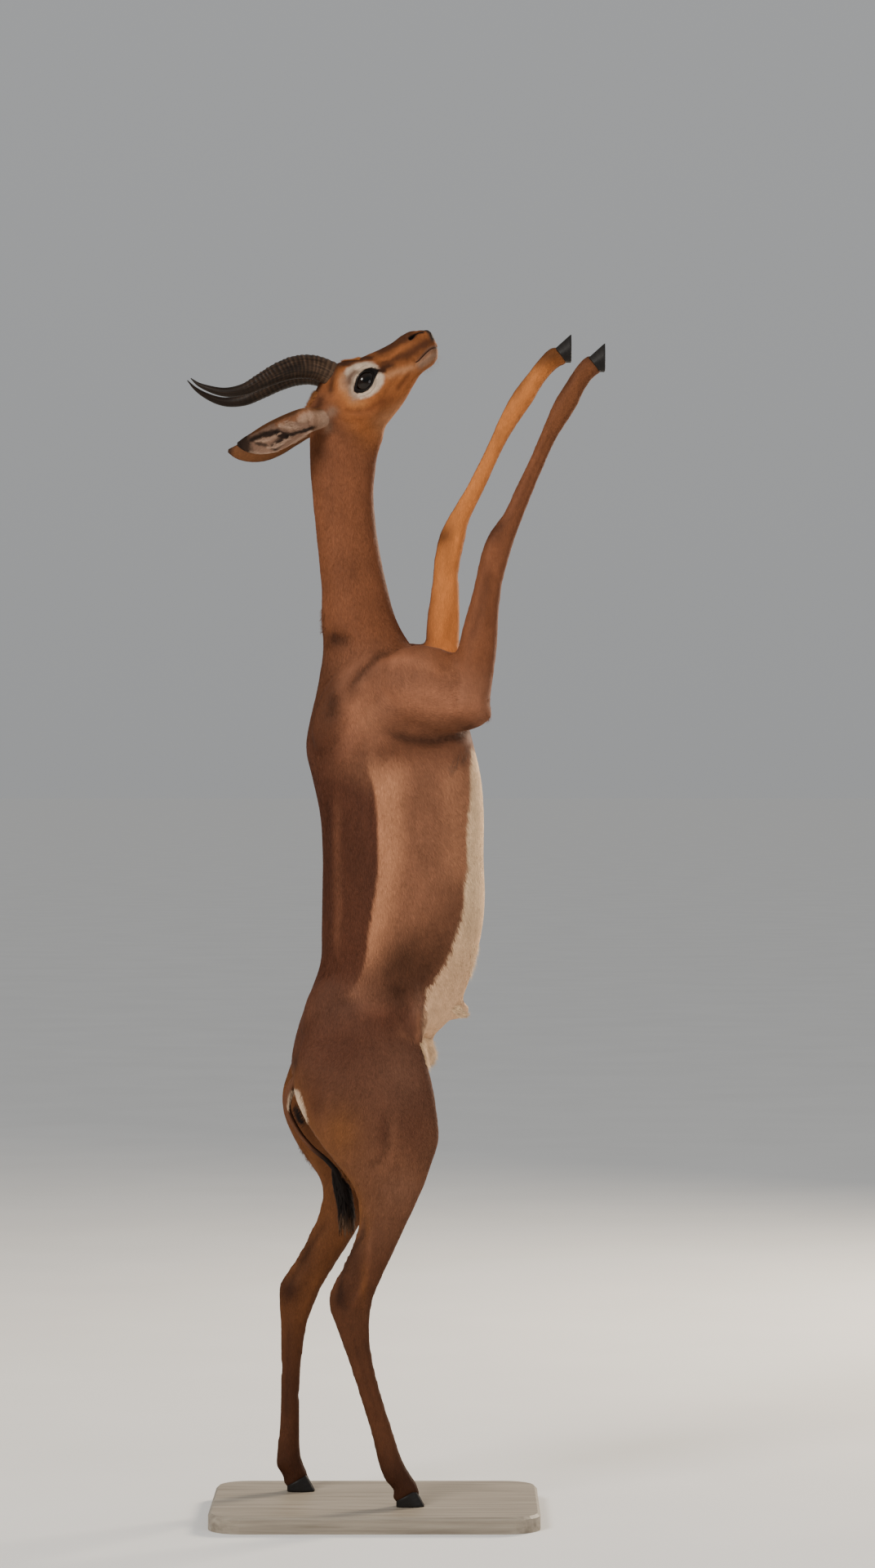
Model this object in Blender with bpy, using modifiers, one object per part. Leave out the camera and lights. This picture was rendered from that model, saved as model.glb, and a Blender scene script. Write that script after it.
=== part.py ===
"""A gerenuk ram at life size, reared on its hind legs, on a flat display base.

The animal faces +X with its belly, its back is towards -X and its right side is at -Y.
The flesh is modelled whole from closed forms, fused, smoothed and thinned, and then parted into
head, neck, torso and legs by thin plane cuts.  Eyes, ears, horns, hooves and tail are seated in
pockets a hair wider than themselves.  Sizes in the tables are millimetres.
"""

import math
import random
from typing import NamedTuple

import bmesh
import bpy
import numpy as np
from mathutils import Matrix, Vector

MM = 0.001
GAP = 0.0003

BASE_LENGTH = 0.600
BASE_WIDTH = 0.420
BASE_THICKNESS = 0.030
BASE_CORNER = 0.060
BASE_EDGE = 0.005
SOLE_LEVEL = BASE_THICKNESS + GAP

HEAD_ORIGIN = Vector((-0.090, 0.0, 2.055))
HEAD_PITCH = math.radians(29.0)
HEAD_YAW = math.radians(4.5)
HEAD_ROLL = math.radians(-3.5)

BODY_VOXEL = 0.004
HEAD_VOXEL = 0.0022
BODY_TRIANGLES = 5600
HEAD_TRIANGLES = 2700
BODY_RELAXING = 14
HEAD_RELAXING = 8
WELD = 0.000004
FLESH_CREASE = math.radians(40.0)
HORN_CREASE = math.radians(25.0)
HOOF_CREASE = math.radians(35.0)
BASE_CREASE = math.radians(30.0)

THROAT_CUT = Vector((0.012, 0.0, 1.966))
NAPE_CUT = Vector((-0.122, 0.0, 1.988))
NECK_ROOT = Vector((-0.098, 0.0, 1.598))
BREAST_CUT = Vector((0.064, 0.0, 1.612))
NECK_SLICES = 5
FORE_ROOMS = {
    "foreleg_right": (Vector((0.135, -0.300, 1.560)), Vector((0.600, -0.035, 2.300))),
    "foreleg_left": (Vector((0.086, 0.035, 1.600)), Vector((0.600, 0.300, 2.300))),
}
CROTCH_LEVEL = 0.800
GROIN_SLOPE = math.radians(42.0)

EYE_RADIUS = 0.0195
LID_THICKNESS = 0.0026
LID_POINTS = 20
LID_HALF_LENGTH = 0.0184
LID_HALF_HEIGHT = 0.0142
LID_SLANT = 0.22
LID_PINCH = 0.30
LID_FLARE = ((0.006, 0.80), (0.034, 1.45))
EYE_PLACE = Vector((0.0715, 0.0285, -0.0145))

HORN_RINGS = 22
HORN_RINGED_SHARE = 0.68
HORN_RIDGE = 0.03
HORN_SIDES = 10
HORN_TIP_STEPS = 8

TAIL_LOCKS = 18
TUFT_SPAN = (0.60, 0.93)
LOCK_LENGTH = 0.062
LOCK_LENGTH_DRAW = 0.012
LOCK_LENGTH_LOSS = 0.014
LOCK_WIDTH = 0.0125
LOCK_WIDTH_DRAW = 0.003
LOCK_BEND = 0.005
LOCK_SINK = 0.0015
LOCK_TURN = math.radians(137.5)
SEED = 7

COAT = (0.36, 0.16, 0.07)
COAT_DARK = (0.25, 0.11, 0.055)
COAT_PALE = (0.46, 0.27, 0.15)
HORN_COLOUR = (0.075, 0.058, 0.048)
HOOF_COLOUR = (0.045, 0.040, 0.038)
TUFT_COLOUR = (0.020, 0.014, 0.011)
EYE_COLOUR = (0.012, 0.008, 0.006)
BASE_COLOUR = (0.30, 0.27, 0.23)


class Slice(NamedTuple):
    """A level section: its height, its ends along X, its middle along Y and its half width."""

    z: float
    rear: float
    front: float
    side: float
    half_width: float
    taper: float = 0.0


class Ring(NamedTuple):
    """A section square to a path: its centre, half depth in the X-Z plane and half width along Y."""

    x: float
    z: float
    side: float
    half_depth: float
    half_width: float


class Muscle(NamedTuple):
    """An ellipsoid: its centre, half sizes and the slope of its long axis in the X-Z plane."""

    x: float
    z: float
    side: float
    half_length: float
    half_depth: float
    half_width: float
    slope: float = 0.0


TRUNK = [
    Slice(2045, -112, 6, 0, 34),
    Slice(2000, -121, 18, 0, 38),
    Slice(1942, -122, 4, 0, 36),
    Slice(1882, -118, -2, 0, 36),
    Slice(1822, -112, 1, 0, 36),
    Slice(1762, -106, 10, 0, 38),
    Slice(1702, -100, 23, 0, 42),
    Slice(1642, -100, 40, 0, 48),
    Slice(1598, -97, 66, 0, 57, 0.10),
    Slice(1552, -102, 118, 0, 68, 0.12),
    Slice(1508, -110, 148, 0, 78, 0.10),
    Slice(1462, -121, 168, 0, 88, 0.05),
    Slice(1407, -129, 183, 0, 94),
    Slice(1358, -118, 194, 0, 99, -0.03),
    Slice(1282, -102, 200, 0, 105, -0.03),
    Slice(1208, -98, 199, 0, 109),
    Slice(1132, -99, 202, 0, 108),
    Slice(1072, -100, 196, 0, 101),
    Slice(1012, -102, 182, 0, 92),
    Slice(968, -118, 168, 0, 88),
    Slice(922, -135, 147, 0, 88),
    Slice(878, -148, 105, 0, 84),
    Slice(832, -156, 60, 0, 70),
    Slice(794, -152, 20, 0, 45),
]

HIND_RIGHT = [
    Slice(942, -106, 84, -50, 38),
    Slice(897, -127, 86, -56, 45),
    Slice(853, -142, 92, -61, 48),
    Slice(808, -151, 103, -66, 48),
    Slice(764, -144, 112, -70, 45),
    Slice(731, -128, 116, -73, 41),
    Slice(701, -110, 119, -75, 37, 0.08),
    Slice(675, -91, 113, -77, 33, 0.15),
    Slice(645, -67, 102, -79, 29, 0.20),
    Slice(615, -45, 92, -81, 26, 0.22),
    Slice(588, -34, 80, -82, 24, 0.25),
    Slice(541, -31, 58, -84, 21, 0.30),
    Slice(482, -54, 31, -85, 18, 0.35),
    Slice(436, -75, 9, -86, 16, 0.25),
    Slice(408, -86, -2, -86, 16.5, 0.10),
    Slice(388, -83, -6, -86, 16.5, 0.05),
    Slice(351, -69, -9, -86, 15),
    Slice(304, -52, -5, -86, 14),
    Slice(215, -23, 18, -86, 13),
    Slice(155, -5, 37, -86, 13.5),
    Slice(120, 3, 48, -86, 15.5),
    Slice(96, 10, 60, -86, 17),
    Slice(72, 24, 76, -86, 16.5),
    Slice(50, 42, 84, -86, 15),
]

HIND_LEFT = [
    Slice(942, -108, 82, 50, 38),
    Slice(897, -129, 82, 56, 45),
    Slice(853, -147, 84, 61, 48),
    Slice(808, -165, 88, 66, 48),
    Slice(766, -176, 91, 70, 45),
    Slice(733, -173, 90, 73, 41),
    Slice(706, -164, 86, 75, 37, 0.08),
    Slice(672, -147, 72, 77, 33, 0.15),
    Slice(642, -127, 53, 79, 29, 0.20),
    Slice(610, -106, 30, 81, 26, 0.22),
    Slice(585, -101, 8, 82, 24, 0.25),
    Slice(550, -107, -15, 83, 21, 0.30),
    Slice(494, -132, -47, 85, 18, 0.35),
    Slice(440, -164, -82, 86, 16, 0.25),
    Slice(408, -182, -101, 86, 16.5, 0.10),
    Slice(387, -182, -110, 86, 16.5, 0.05),
    Slice(342, -178, -127, 86, 15),
    Slice(304, -177, -134, 86, 14),
    Slice(221, -177, -142, 86, 13),
    Slice(150, -180, -142, 86, 13.5),
    Slice(118, -183, -142, 86, 15.5),
    Slice(92, -185, -139, 86, 17),
    Slice(70, -181, -130, 86, 16.5),
    Slice(50, -166, -122, 86, 15),
]

FORE_RIGHT = [
    Ring(168, 1478, -74, 40, 32),
    Ring(177, 1530, -76, 38, 31),
    Ring(186, 1582, -76, 36, 27),
    Ring(193, 1630, -75, 32, 24),
    Ring(201, 1675, -75, 27, 21),
    Ring(209, 1718, -75, 25, 18.5),
    Ring(218, 1755, -75, 26, 19),
    Ring(228, 1784, -75, 24.5, 19.5),
    Ring(248, 1822, -75, 18.5, 15.5),
    Ring(272, 1877, -75, 16.5, 13),
    Ring(298, 1935, -74, 14.8, 12),
    Ring(320, 1984, -73, 16, 13),
    Ring(338, 2018, -73, 19.5, 15.5),
    Ring(352, 2043, -72, 20.5, 16),
    Ring(366, 2068, -72, 18, 15),
    Ring(381, 2091, -72, 18.5, 15.5),
    Ring(395, 2106, -72, 18.5, 15),
    Ring(405, 2116, -72, 13, 12),
]

FORE_LEFT = [
    Ring(128, 1488, 74, 40, 32),
    Ring(126, 1540, 76, 36, 31),
    Ring(123, 1600, 76, 32, 27),
    Ring(125, 1648, 75, 31, 24),
    Ring(128, 1694, 75, 27, 21),
    Ring(130, 1738, 75, 24, 18.5),
    Ring(135, 1772, 75, 25, 19),
    Ring(143, 1804, 75, 24, 19.5),
    Ring(156, 1838, 75, 19, 15.5),
    Ring(178, 1878, 75, 16.8, 13),
    Ring(205, 1933, 74, 15.3, 12),
    Ring(229, 1984, 73, 15.5, 13),
    Ring(252, 2027, 73, 18.5, 15.5),
    Ring(275, 2063, 72, 20.5, 16),
    Ring(294, 2091, 72, 17.5, 15),
    Ring(314, 2117, 72, 18, 15.5),
    Ring(334, 2136, 72, 18.5, 15),
    Ring(346, 2146, 72, 13, 12),
]

SHOULDER_MUSCLES = {
    "blade": Muscle(-36, 1492, 49, 114, 62, 33, 56),
    "breast": Muscle(50, 1552, 26, 74, 46, 44, -12),
}
ARM_RIGHT_MUSCLES = {
    "upper_arm": Muscle(104, 1520, -68, 104, 72, 36, -20),
    "triceps": Muscle(116, 1476, -70, 99, 42, 34, -3),
}
ARM_LEFT_MUSCLES = {
    "upper_arm": Muscle(74, 1532, 68, 88, 70, 36, -24),
    "triceps": Muscle(74, 1484, 70, 92, 42, 34, -2),
}
HIP_MUSCLES = {
    "rump": Muscle(-72, 915, 38, 92, 62, 41, 78),
    "flank_fold": Muscle(62, 900, 64, 70, 32, 22, 60),
}
BELLY_MUSCLES = {
    "sheath": Muscle(150, 925, 0, 26, 15, 14, 20),
    "purse": Muscle(84, 852, 0, 30, 24, 20, 60),
}

HEAD_SECTIONS = [
    Slice(-47, -5, -50, 0, 17),
    Slice(-34, 4, -62, 0, 27),
    Slice(-15, 17, -84, 0, 37),
    Slice(10, 34, -99, 0, 43),
    Slice(38, 44, -104, 0, 45),
    Slice(62, 41, -103, 0, 46),
    Slice(80, 33, -96, 0, 44),
    Slice(100, 31.5, -88, 0, 37),
    Slice(120, 29.5, -79, 0, 31),
    Slice(140, 28.5, -67, 0, 26),
    Slice(158, 29.5, -56, 0, 23),
    Slice(175, 32, -47.5, 0, 22),
    Slice(192, 31.5, -44, 0, 21.5),
    Slice(206, 25, -39, 0, 20),
    Slice(217, 15, -31, 0, 16),
    Slice(225, 3, -20, 0, 9),
]
HEAD_MUSCLES = {
    "cheek": Muscle(52, -54, 30, 44, 34, 16, 35),
    "brow": Muscle(70, 7, 32, 34, 15, 13, -10),
    "pedicle": Muscle(30, 17, 24, 26, 27, 23, 60),
    "ear_root": Muscle(-20, -32, 30, 30, 24, 18, 20),
    "upper_lip": Muscle(202, -10, 9, 23, 17, 13, -12),
    "nose_pad": Muscle(213, 6, 6, 14, 15, 10, -30),
    "chin": Muscle(194, -34, 3, 25, 11, 14, 12),
}

HORN_PATH = [
    Ring(37, 4, 22, 18, 14),
    Ring(31, 17, 25, 22, 17.5),
    Ring(21, 33.2, 29, 22.5, 18.5),
    Ring(0.5, 54.6, 36, 22.3, 18),
    Ring(-24.7, 67, 45, 21.3, 17.5),
    Ring(-58, 73, 55, 18.6, 16),
    Ring(-96, 73.7, 64, 14.8, 13.8),
    Ring(-132, 75, 69, 11.4, 11),
    Ring(-164, 86.8, 70, 8.9, 8.2),
    Ring(-188, 108.5, 67, 6.1, 5.8),
    Ring(-201, 127, 62, 3.4, 3.4),
    Ring(-206, 141, 58, 1.2, 1.2),
]
LEFT_HORN_LIFTS = (0, 0, 0, 0, 0, 0, 0, 0.5, 2.5, 6, 11, 15)
HORN_SEAT_RINGS = 4

EAR_SECTIONS = [
    Ring(-16, -36, 32, 14, 11),
    Ring(-36, -34, 44, 19, 13),
    Ring(-58, -28, 57, 23.5, 14),
    Ring(-86, -27, 70, 26, 15),
    Ring(-115, -28, 80, 27.8, 14.5),
    Ring(-142, -27, 87, 26, 12.5),
    Ring(-166, -22, 91, 19.5, 9),
    Ring(-183, -15, 93.5, 11.5, 5.5),
    Ring(-193, -9.5, 95, 3, 2),
]
EAR_WALL = 0.0030
EAR_CUP_START = 2
EAR_CUP_SHIFT = 0.0075
EAR_CUP_MOUTH = (0.45, 0.60)
LEFT_EAR_LIFT = 19.0
LEFT_EAR_SHARE = 1.045

TAIL_PATH = [
    Ring(-132, 812, 0, 13, 13),
    Ring(-156, 782, 0, 10.5, 11),
    Ring(-162, 752, 0, 7.5, 9),
    Ring(-146, 712, 0, 5.5, 7),
    Ring(-118, 676, -2, 5, 6),
    Ring(-88, 650, -3, 5, 6),
    Ring(-66, 622, -4, 5.5, 6.5),
    Ring(-56, 585, -4, 4, 4.5),
    Ring(-54, 552, -4, 2, 2),
]

CLAW_LENGTH = 0.052
CLAW_HALF_WIDTH = 0.0095
CLAW_CLEFT = 0.0022
CLAW_TOE_HEIGHT = 0.029
CLAW_HEEL_HEIGHT = 0.011
CLAW_POINTS = 12
DEWCLAW_RADIUS = 0.0085
DEWCLAW_PLACE = Vector((0.066, 0.010, 0.052))


class Foot(NamedTuple):
    """A hoof's toe on the ground it treads, its toe direction and its sole's upward normal."""

    name: str
    toe: Vector
    forward: Vector
    up: Vector
    toe_slope: float


FEET = [
    Foot("hind_right", Vector((0.091, -0.086, SOLE_LEVEL)), Vector((1, 0, 0)), Vector((0, 0, 1)), 0.55),
    Foot("hind_left", Vector((-0.113, 0.086, SOLE_LEVEL)), Vector((1, 0, 0)), Vector((0, 0, 1)), 0.55),
    Foot("fore_right", Vector((0.419, -0.072, 2.145)), Vector((0, 0, 1)), Vector((-1, 0, 0)), 0.90),
    Foot("fore_left", Vector((0.362, 0.072, 2.176)), Vector((0, 0, 1)), Vector((-1, 0, 0)), 0.90),
]


def clear_scene():
    """Remove whatever the file opened with."""
    for obj in list(bpy.data.objects):
        bpy.data.objects.remove(obj, do_unlink=True)


def make_collection(name):
    """Return a new collection under the scene's own."""
    collection = bpy.data.collections.new(name)
    bpy.context.scene.collection.children.link(collection)
    return collection


def finish(name, colour, roughness, metallic=0.0):
    """Return a plain Principled material."""
    material = bpy.data.materials.new(name)
    material.use_nodes = True
    shader = material.node_tree.nodes["Principled BSDF"]
    shader.inputs["Base Color"].default_value = (*colour, 1.0)
    shader.inputs["Roughness"].default_value = roughness
    shader.inputs["Metallic"].default_value = metallic
    return material


def to_object(bm, name, collection):
    """Turn a bmesh into an object of the collection, with its faces pointing out."""
    bmesh.ops.recalc_face_normals(bm, faces=bm.faces)
    mesh = bpy.data.meshes.new(name)
    bm.to_mesh(mesh)
    bm.free()
    obj = bpy.data.objects.new(name, mesh)
    collection.objects.link(obj)
    return obj


def smooth_rows(rows, steps):
    """Run a smooth curve through rows of numbers and read it at even steps of each span."""
    rows = np.asarray(rows, dtype=float)
    lengths = np.linalg.norm(np.diff(rows[:, :3], axis=0), axis=1)
    at = np.concatenate([[0.0], np.cumsum(lengths)])
    slopes = np.gradient(rows, at, axis=0)
    out = []
    for k in range(len(rows) - 1):
        span = at[k + 1] - at[k]
        for step in range(steps):
            t = step / steps
            out.append(
                (2 * t**3 - 3 * t**2 + 1) * rows[k]
                + (t**3 - 2 * t**2 + t) * span * slopes[k]
                + (3 * t**2 - 2 * t**3) * rows[k + 1]
                + (t**3 - t**2) * span * slopes[k + 1]
            )
    out.append(rows[-1])
    return np.array(out)


def skin_rings(rings, name, collection):
    """Join closed rings of points into one capped tube."""
    bm = bmesh.new()
    loops = [[bm.verts.new(point) for point in ring] for ring in rings]
    count = len(loops[0])
    for low, high in zip(loops, loops[1:]):
        for k in range(count):
            bm.faces.new((low[k], low[(k + 1) % count], high[(k + 1) % count], high[k]))
    bm.faces.new(loops[0])
    bm.faces.new(list(reversed(loops[-1])))
    return to_object(bm, name, collection)


def level_tube(slices, name, collection, sides=28, steps=3, place=None):
    """Loft level slices; place turns a slice's own (along, side, height) into space."""
    rings = []
    for z, rear, front, side, half_width, taper in smooth_rows(slices, steps):
        middle = (rear + front) / 2
        half = (front - rear) / 2
        ring = []
        for k in range(sides):
            angle = 2 * math.pi * k / sides
            along = middle + half * math.cos(angle)
            across = side + half_width * math.sin(angle) * (1 + taper * math.cos(angle))
            ring.append(place(z, along, across) if place else Vector((along, across, z)) * MM)
        rings.append(ring)
    return skin_rings(rings, name, collection)


def rows_at(stations, shares):
    """Read a smooth curve through stations at the given shares of its length."""
    fine = smooth_rows(stations, 24)
    lengths = np.linalg.norm(np.diff(fine[:, :3], axis=0), axis=1)
    at = np.concatenate([[0.0], np.cumsum(lengths)]) / np.sum(lengths)
    return np.column_stack([np.interp(shares, at, column) for column in fine.T])


def path_rings(rows, sides, side=1.0, swell=0.0, ridges=None):
    """Rings square to a path, in millimetres; ridges swell them by a share each."""
    centres = rows[:, [0, 2, 1]]
    tangents = np.gradient(centres, axis=0)
    rings = []
    for k, row in enumerate(rows):
        tangent = Vector(tangents[k]).normalized()
        across = Vector((0, 1, 0)) - tangent * tangent.y
        across.normalize()
        deep = tangent.cross(across)
        grow = 1 + (ridges[k] if ridges else 0.0)
        half_depth = row[3] * grow + swell
        half_width = row[4] * grow + swell
        middle = Vector(centres[k])
        if k == 0:
            middle -= tangent * swell
        if k == len(rows) - 1:
            middle += tangent * swell
        ring = []
        for n in range(sides):
            angle = 2 * math.pi * n / sides
            point = middle + deep * (half_depth * math.cos(angle))
            point += across * (half_width * math.sin(angle))
            point.y *= side
            ring.append(point)
        rings.append(ring)
    return rings


def path_tube(stations, name, collection, sides=20, steps=3, place=None, **options):
    """Loft rings along a path; place turns millimetres into space."""
    rings = path_rings(smooth_rows(stations, steps), sides, **options)
    rings = [[place(p) if place else p * MM for p in ring] for ring in rings]
    return skin_rings(rings, name, collection)


def ellipsoid(muscle, name, collection, side=1.0, place=None):
    """Add a muscle's ellipsoid, on the given side of the body."""
    bm = bmesh.new()
    bmesh.ops.create_uvsphere(bm, u_segments=24, v_segments=16, radius=1.0)
    turn = Matrix.Rotation(-math.radians(muscle.slope), 3, "Y")
    centre = Vector((muscle.x, muscle.side, muscle.z))
    for vert in bm.verts:
        x, y, z = vert.co
        point = centre + turn @ Vector(
            (x * muscle.half_length, y * muscle.half_width, z * muscle.half_depth)
        )
        point.y *= side
        vert.co = place(point) if place else point * MM
    return to_object(bm, name, collection)


def head_matrix():
    """The head's own frame: X to the muzzle, Y to the left, Z to the crown."""
    turn = Matrix.Rotation(HEAD_YAW, 4, "Z") @ Matrix.Rotation(-HEAD_PITCH, 4, "Y")
    return Matrix.Translation(HEAD_ORIGIN) @ turn @ Matrix.Rotation(HEAD_ROLL, 4, "X")


HEAD = head_matrix()


def in_head(point):
    """Take a point in millimetres of the head's frame into space."""
    return HEAD @ (Vector(point) * MM)


def head_slice(along, low, across):
    """Place a point of a head section: the section's height is its way along the head."""
    return in_head((along, across, low))


def apply_modifier(obj, kind, **settings):
    """Add a modifier, set it and bake it into the object's mesh."""
    modifier = obj.modifiers.new(kind.title(), kind)
    for key, value in settings.items():
        setattr(modifier, key, value)
    depsgraph = bpy.context.evaluated_depsgraph_get()
    mesh = bpy.data.meshes.new_from_object(obj.evaluated_get(depsgraph))
    old = obj.data
    obj.modifiers.clear()
    obj.data = mesh
    bpy.data.meshes.remove(old)


def fuse(pieces, name, collection, voxel):
    """Melt closed pieces into one skin of even squares."""
    bm = bmesh.new()
    for piece in pieces:
        bm.from_mesh(piece.data)
    mesh = bpy.data.meshes.new(name)
    bm.to_mesh(mesh)
    bm.free()
    obj = bpy.data.objects.new(name, mesh)
    collection.objects.link(obj)
    apply_modifier(obj, "REMESH", mode="VOXEL", voxel_size=voxel, adaptivity=0.0)
    keep_largest(obj)
    return obj


def relax(obj, rounds):
    """Smooth a skin without shrinking it: each round pulls in and pushes back out."""
    mesh = obj.data
    count = len(mesh.vertices)
    points = np.empty(count * 3)
    mesh.vertices.foreach_get("co", points)
    points = points.reshape(-1, 3)
    edges = np.empty(len(mesh.edges) * 2, dtype=int)
    mesh.edges.foreach_get("vertices", edges)
    edges = edges.reshape(-1, 2)
    degree = np.bincount(edges.ravel(), minlength=count)[:, None]
    for _ in range(rounds):
        for share in (0.55, -0.57):
            total = np.zeros_like(points)
            for axis in range(3):
                total[:, axis] = np.bincount(
                    edges[:, 0], points[edges[:, 1], axis], minlength=count
                ) + np.bincount(edges[:, 1], points[edges[:, 0], axis], minlength=count)
            points = points + share * (total / degree - points)
    mesh.vertices.foreach_set("co", points.ravel())
    mesh.update()


def thin_to(obj, triangles):
    """Thin a skin to about this many triangles."""
    faces = sum(len(polygon.vertices) - 2 for polygon in obj.data.polygons)
    apply_modifier(obj, "DECIMATE", ratio=triangles / faces)


def keep_largest(obj):
    """Keep only the largest closed surface of an object."""
    bm = bmesh.new()
    bm.from_mesh(obj.data)
    bm.faces.ensure_lookup_table()
    unseen = set(bm.faces)
    best = set()
    while unseen:
        stack = [unseen.pop()]
        island = set(stack)
        while stack:
            for edge in stack.pop().edges:
                for face in edge.link_faces:
                    if face in unseen:
                        unseen.remove(face)
                        island.add(face)
                        stack.append(face)
        if len(island) > len(best):
            best = island
    loose = [face for face in bm.faces if face not in best]
    bmesh.ops.delete(bm, geom=loose, context="FACES")
    bm.to_mesh(obj.data)
    bm.free()


def boolean(obj, cutter, operation, solver="EXACT"):
    """Apply one Boolean of two closed objects."""
    apply_modifier(obj, "BOOLEAN", object=cutter, operation=operation, solver=solver)


def half_space(point, normal, name, collection, reach=2.6):
    """A large box whose one face passes through a point, the box being on the normal's side."""
    bm = bmesh.new()
    bmesh.ops.create_cube(bm, size=reach)
    turn = Vector(normal).to_track_quat("Z", "Y").to_matrix().to_4x4()
    middle = Vector(point) + Vector(normal).normalized() * (reach / 2)
    bmesh.ops.transform(bm, matrix=Matrix.Translation(middle) @ turn, verts=bm.verts)
    obj = to_object(bm, name, collection)
    obj.hide_render = True
    obj.display_type = "WIRE"
    return obj


def copy_of(obj, name, collection):
    """A second object with its own mesh."""
    twin = bpy.data.objects.new(name, obj.data.copy())
    collection.objects.link(twin)
    return twin


def cut(obj, point, normal, collection, keep_above=True):
    """Keep the part of an object on one side of a plane, half the gap short of it."""
    normal = Vector(normal).normalized()
    if not keep_above:
        normal = -normal
    box = half_space(Vector(point) + normal * (GAP / 2), normal, "plane", collection)
    boolean(obj, box, "INTERSECT")
    bpy.data.objects.remove(box, do_unlink=True)


def box_cutter(low, high, name, collection):
    """A plain box between two corners."""
    bm = bmesh.new()
    bmesh.ops.create_cube(bm, size=1.0)
    low = Vector(low)
    high = Vector(high)
    for vert in bm.verts:
        vert.co = Vector((low[k] + (vert.co[k] + 0.5) * (high[k] - low[k]) for k in range(3)))
    obj = to_object(bm, name, collection)
    obj.hide_render = True
    obj.display_type = "WIRE"
    return obj


def groin_cutter(side, lift, name, collection):
    """The room of one hind leg: it rises outwards from the crotch, on one side of the middle."""
    reach = 0.40
    rise = reach * math.tan(GROIN_SLOPE)
    level = CROTCH_LEVEL + lift
    inner = GAP / 2 - lift
    outline = [(inner, level), (reach, level + rise), (reach, 0.0), (inner, 0.0)]
    rings = [[Vector((x, y * side, z)) for y, z in outline] for x in (-0.5, 0.5)]
    obj = skin_rings(rings, name, collection)
    obj.hide_render = True
    obj.display_type = "WIRE"
    return obj


def upright_normal(rear, front):
    """The upward normal of the plane through two points and the side-to-side direction."""
    normal = (front - rear).cross(Vector((0, 1, 0)))
    return normal if normal.z > 0 else -normal


def body_pieces(collection):
    """The closed forms that make the neck, trunk and legs."""
    pieces = [level_tube(TRUNK, "trunk", collection, sides=36)]
    for name, slices in (("hind_right", HIND_RIGHT), ("hind_left", HIND_LEFT)):
        pieces.append(level_tube(slices, name, collection))
    for name, rings in (("fore_right", FORE_RIGHT), ("fore_left", FORE_LEFT)):
        pieces.append(path_tube(rings, name, collection))
    for side in (1, -1):
        for name, muscle in {**SHOULDER_MUSCLES, **HIP_MUSCLES}.items():
            pieces.append(ellipsoid(muscle, name, collection, side))
    for table in (ARM_RIGHT_MUSCLES, ARM_LEFT_MUSCLES, BELLY_MUSCLES):
        for name, muscle in table.items():
            pieces.append(ellipsoid(muscle, name, collection))
    for foot in FEET:
        pieces += dewclaws(foot, collection)
    return pieces


def dewclaws(foot, collection):
    """The two small horny knobs behind a fetlock."""
    pieces = []
    back = foot.toe - foot.forward * DEWCLAW_PLACE.x + foot.up * DEWCLAW_PLACE.z
    for side in (-DEWCLAW_PLACE.y, DEWCLAW_PLACE.y):
        bm = bmesh.new()
        bmesh.ops.create_uvsphere(bm, u_segments=12, v_segments=8, radius=DEWCLAW_RADIUS)
        bmesh.ops.translate(bm, verts=bm.verts, vec=back + Vector((0, side, 0)))
        pieces.append(to_object(bm, "dewclaw", collection))
    return pieces


def head_pieces(collection):
    """The closed forms that make the head, without its ears and horns."""
    pieces = [level_tube(HEAD_SECTIONS, "skull", collection, place=head_slice)]
    for side in (1, -1):
        for name, muscle in HEAD_MUSCLES.items():
            pieces.append(ellipsoid(muscle, name, collection, side, place=in_head))
        pieces.append(ball(eye_centre(side), EYE_RADIUS + LID_THICKNESS, "lids", collection, 32))
    return pieces


def eye_centre(side):
    """Where an eyeball's middle is, in space."""
    return HEAD @ Vector((EYE_PLACE.x, EYE_PLACE.y * side, EYE_PLACE.z))


def ball(centre, radius, name, collection, segments=16):
    """A sphere whose pole looks out of the side of the head."""
    bm = bmesh.new()
    bmesh.ops.create_uvsphere(bm, u_segments=segments, v_segments=segments // 2, radius=radius)
    turn = HEAD.to_3x3() @ Matrix.Rotation(math.pi / 2, 3, "X")
    bmesh.ops.transform(bm, matrix=Matrix.Translation(centre) @ turn.to_4x4(), verts=bm.verts)
    return to_object(bm, name, collection)


def lid_opening(side, collection):
    """The almond between the lids, as a prism out of the side of the head."""
    rings = []
    for depth, grow in LID_FLARE:
        ring = []
        for k in range(LID_POINTS):
            angle = 2 * math.pi * k / LID_POINTS
            along = LID_HALF_LENGTH * math.cos(angle) * grow
            pinch = 1 - LID_PINCH * abs(math.cos(angle)) ** 3
            high = LID_HALF_HEIGHT * math.sin(angle) * pinch * grow + LID_SLANT * along
            place = EYE_PLACE + Vector((along, depth, high))
            ring.append(HEAD @ Vector((place.x, place.y * side, place.z)))
        rings.append(ring)
    return skin_rings(rings, "lid_opening", collection)


def mouth_cutter(side, collection):
    """The line of the mouth, a thin groove from the front of the lips to their corner."""
    stations = [
        Ring(231, -21, 1, 1.1, 3.5),
        Ring(221, -21, 11, 1.1, 4.0),
        Ring(207, -20, 18.5, 1.1, 4.0),
        Ring(191, -23, 21, 1.1, 3.6),
        Ring(175, -26, 22, 0.9, 3.2),
        Ring(170, -27, 23, 0.4, 1.0),
    ]
    return path_tube(stations, "mouth", collection, sides=8, steps=2, side=side, place=in_head)


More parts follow.
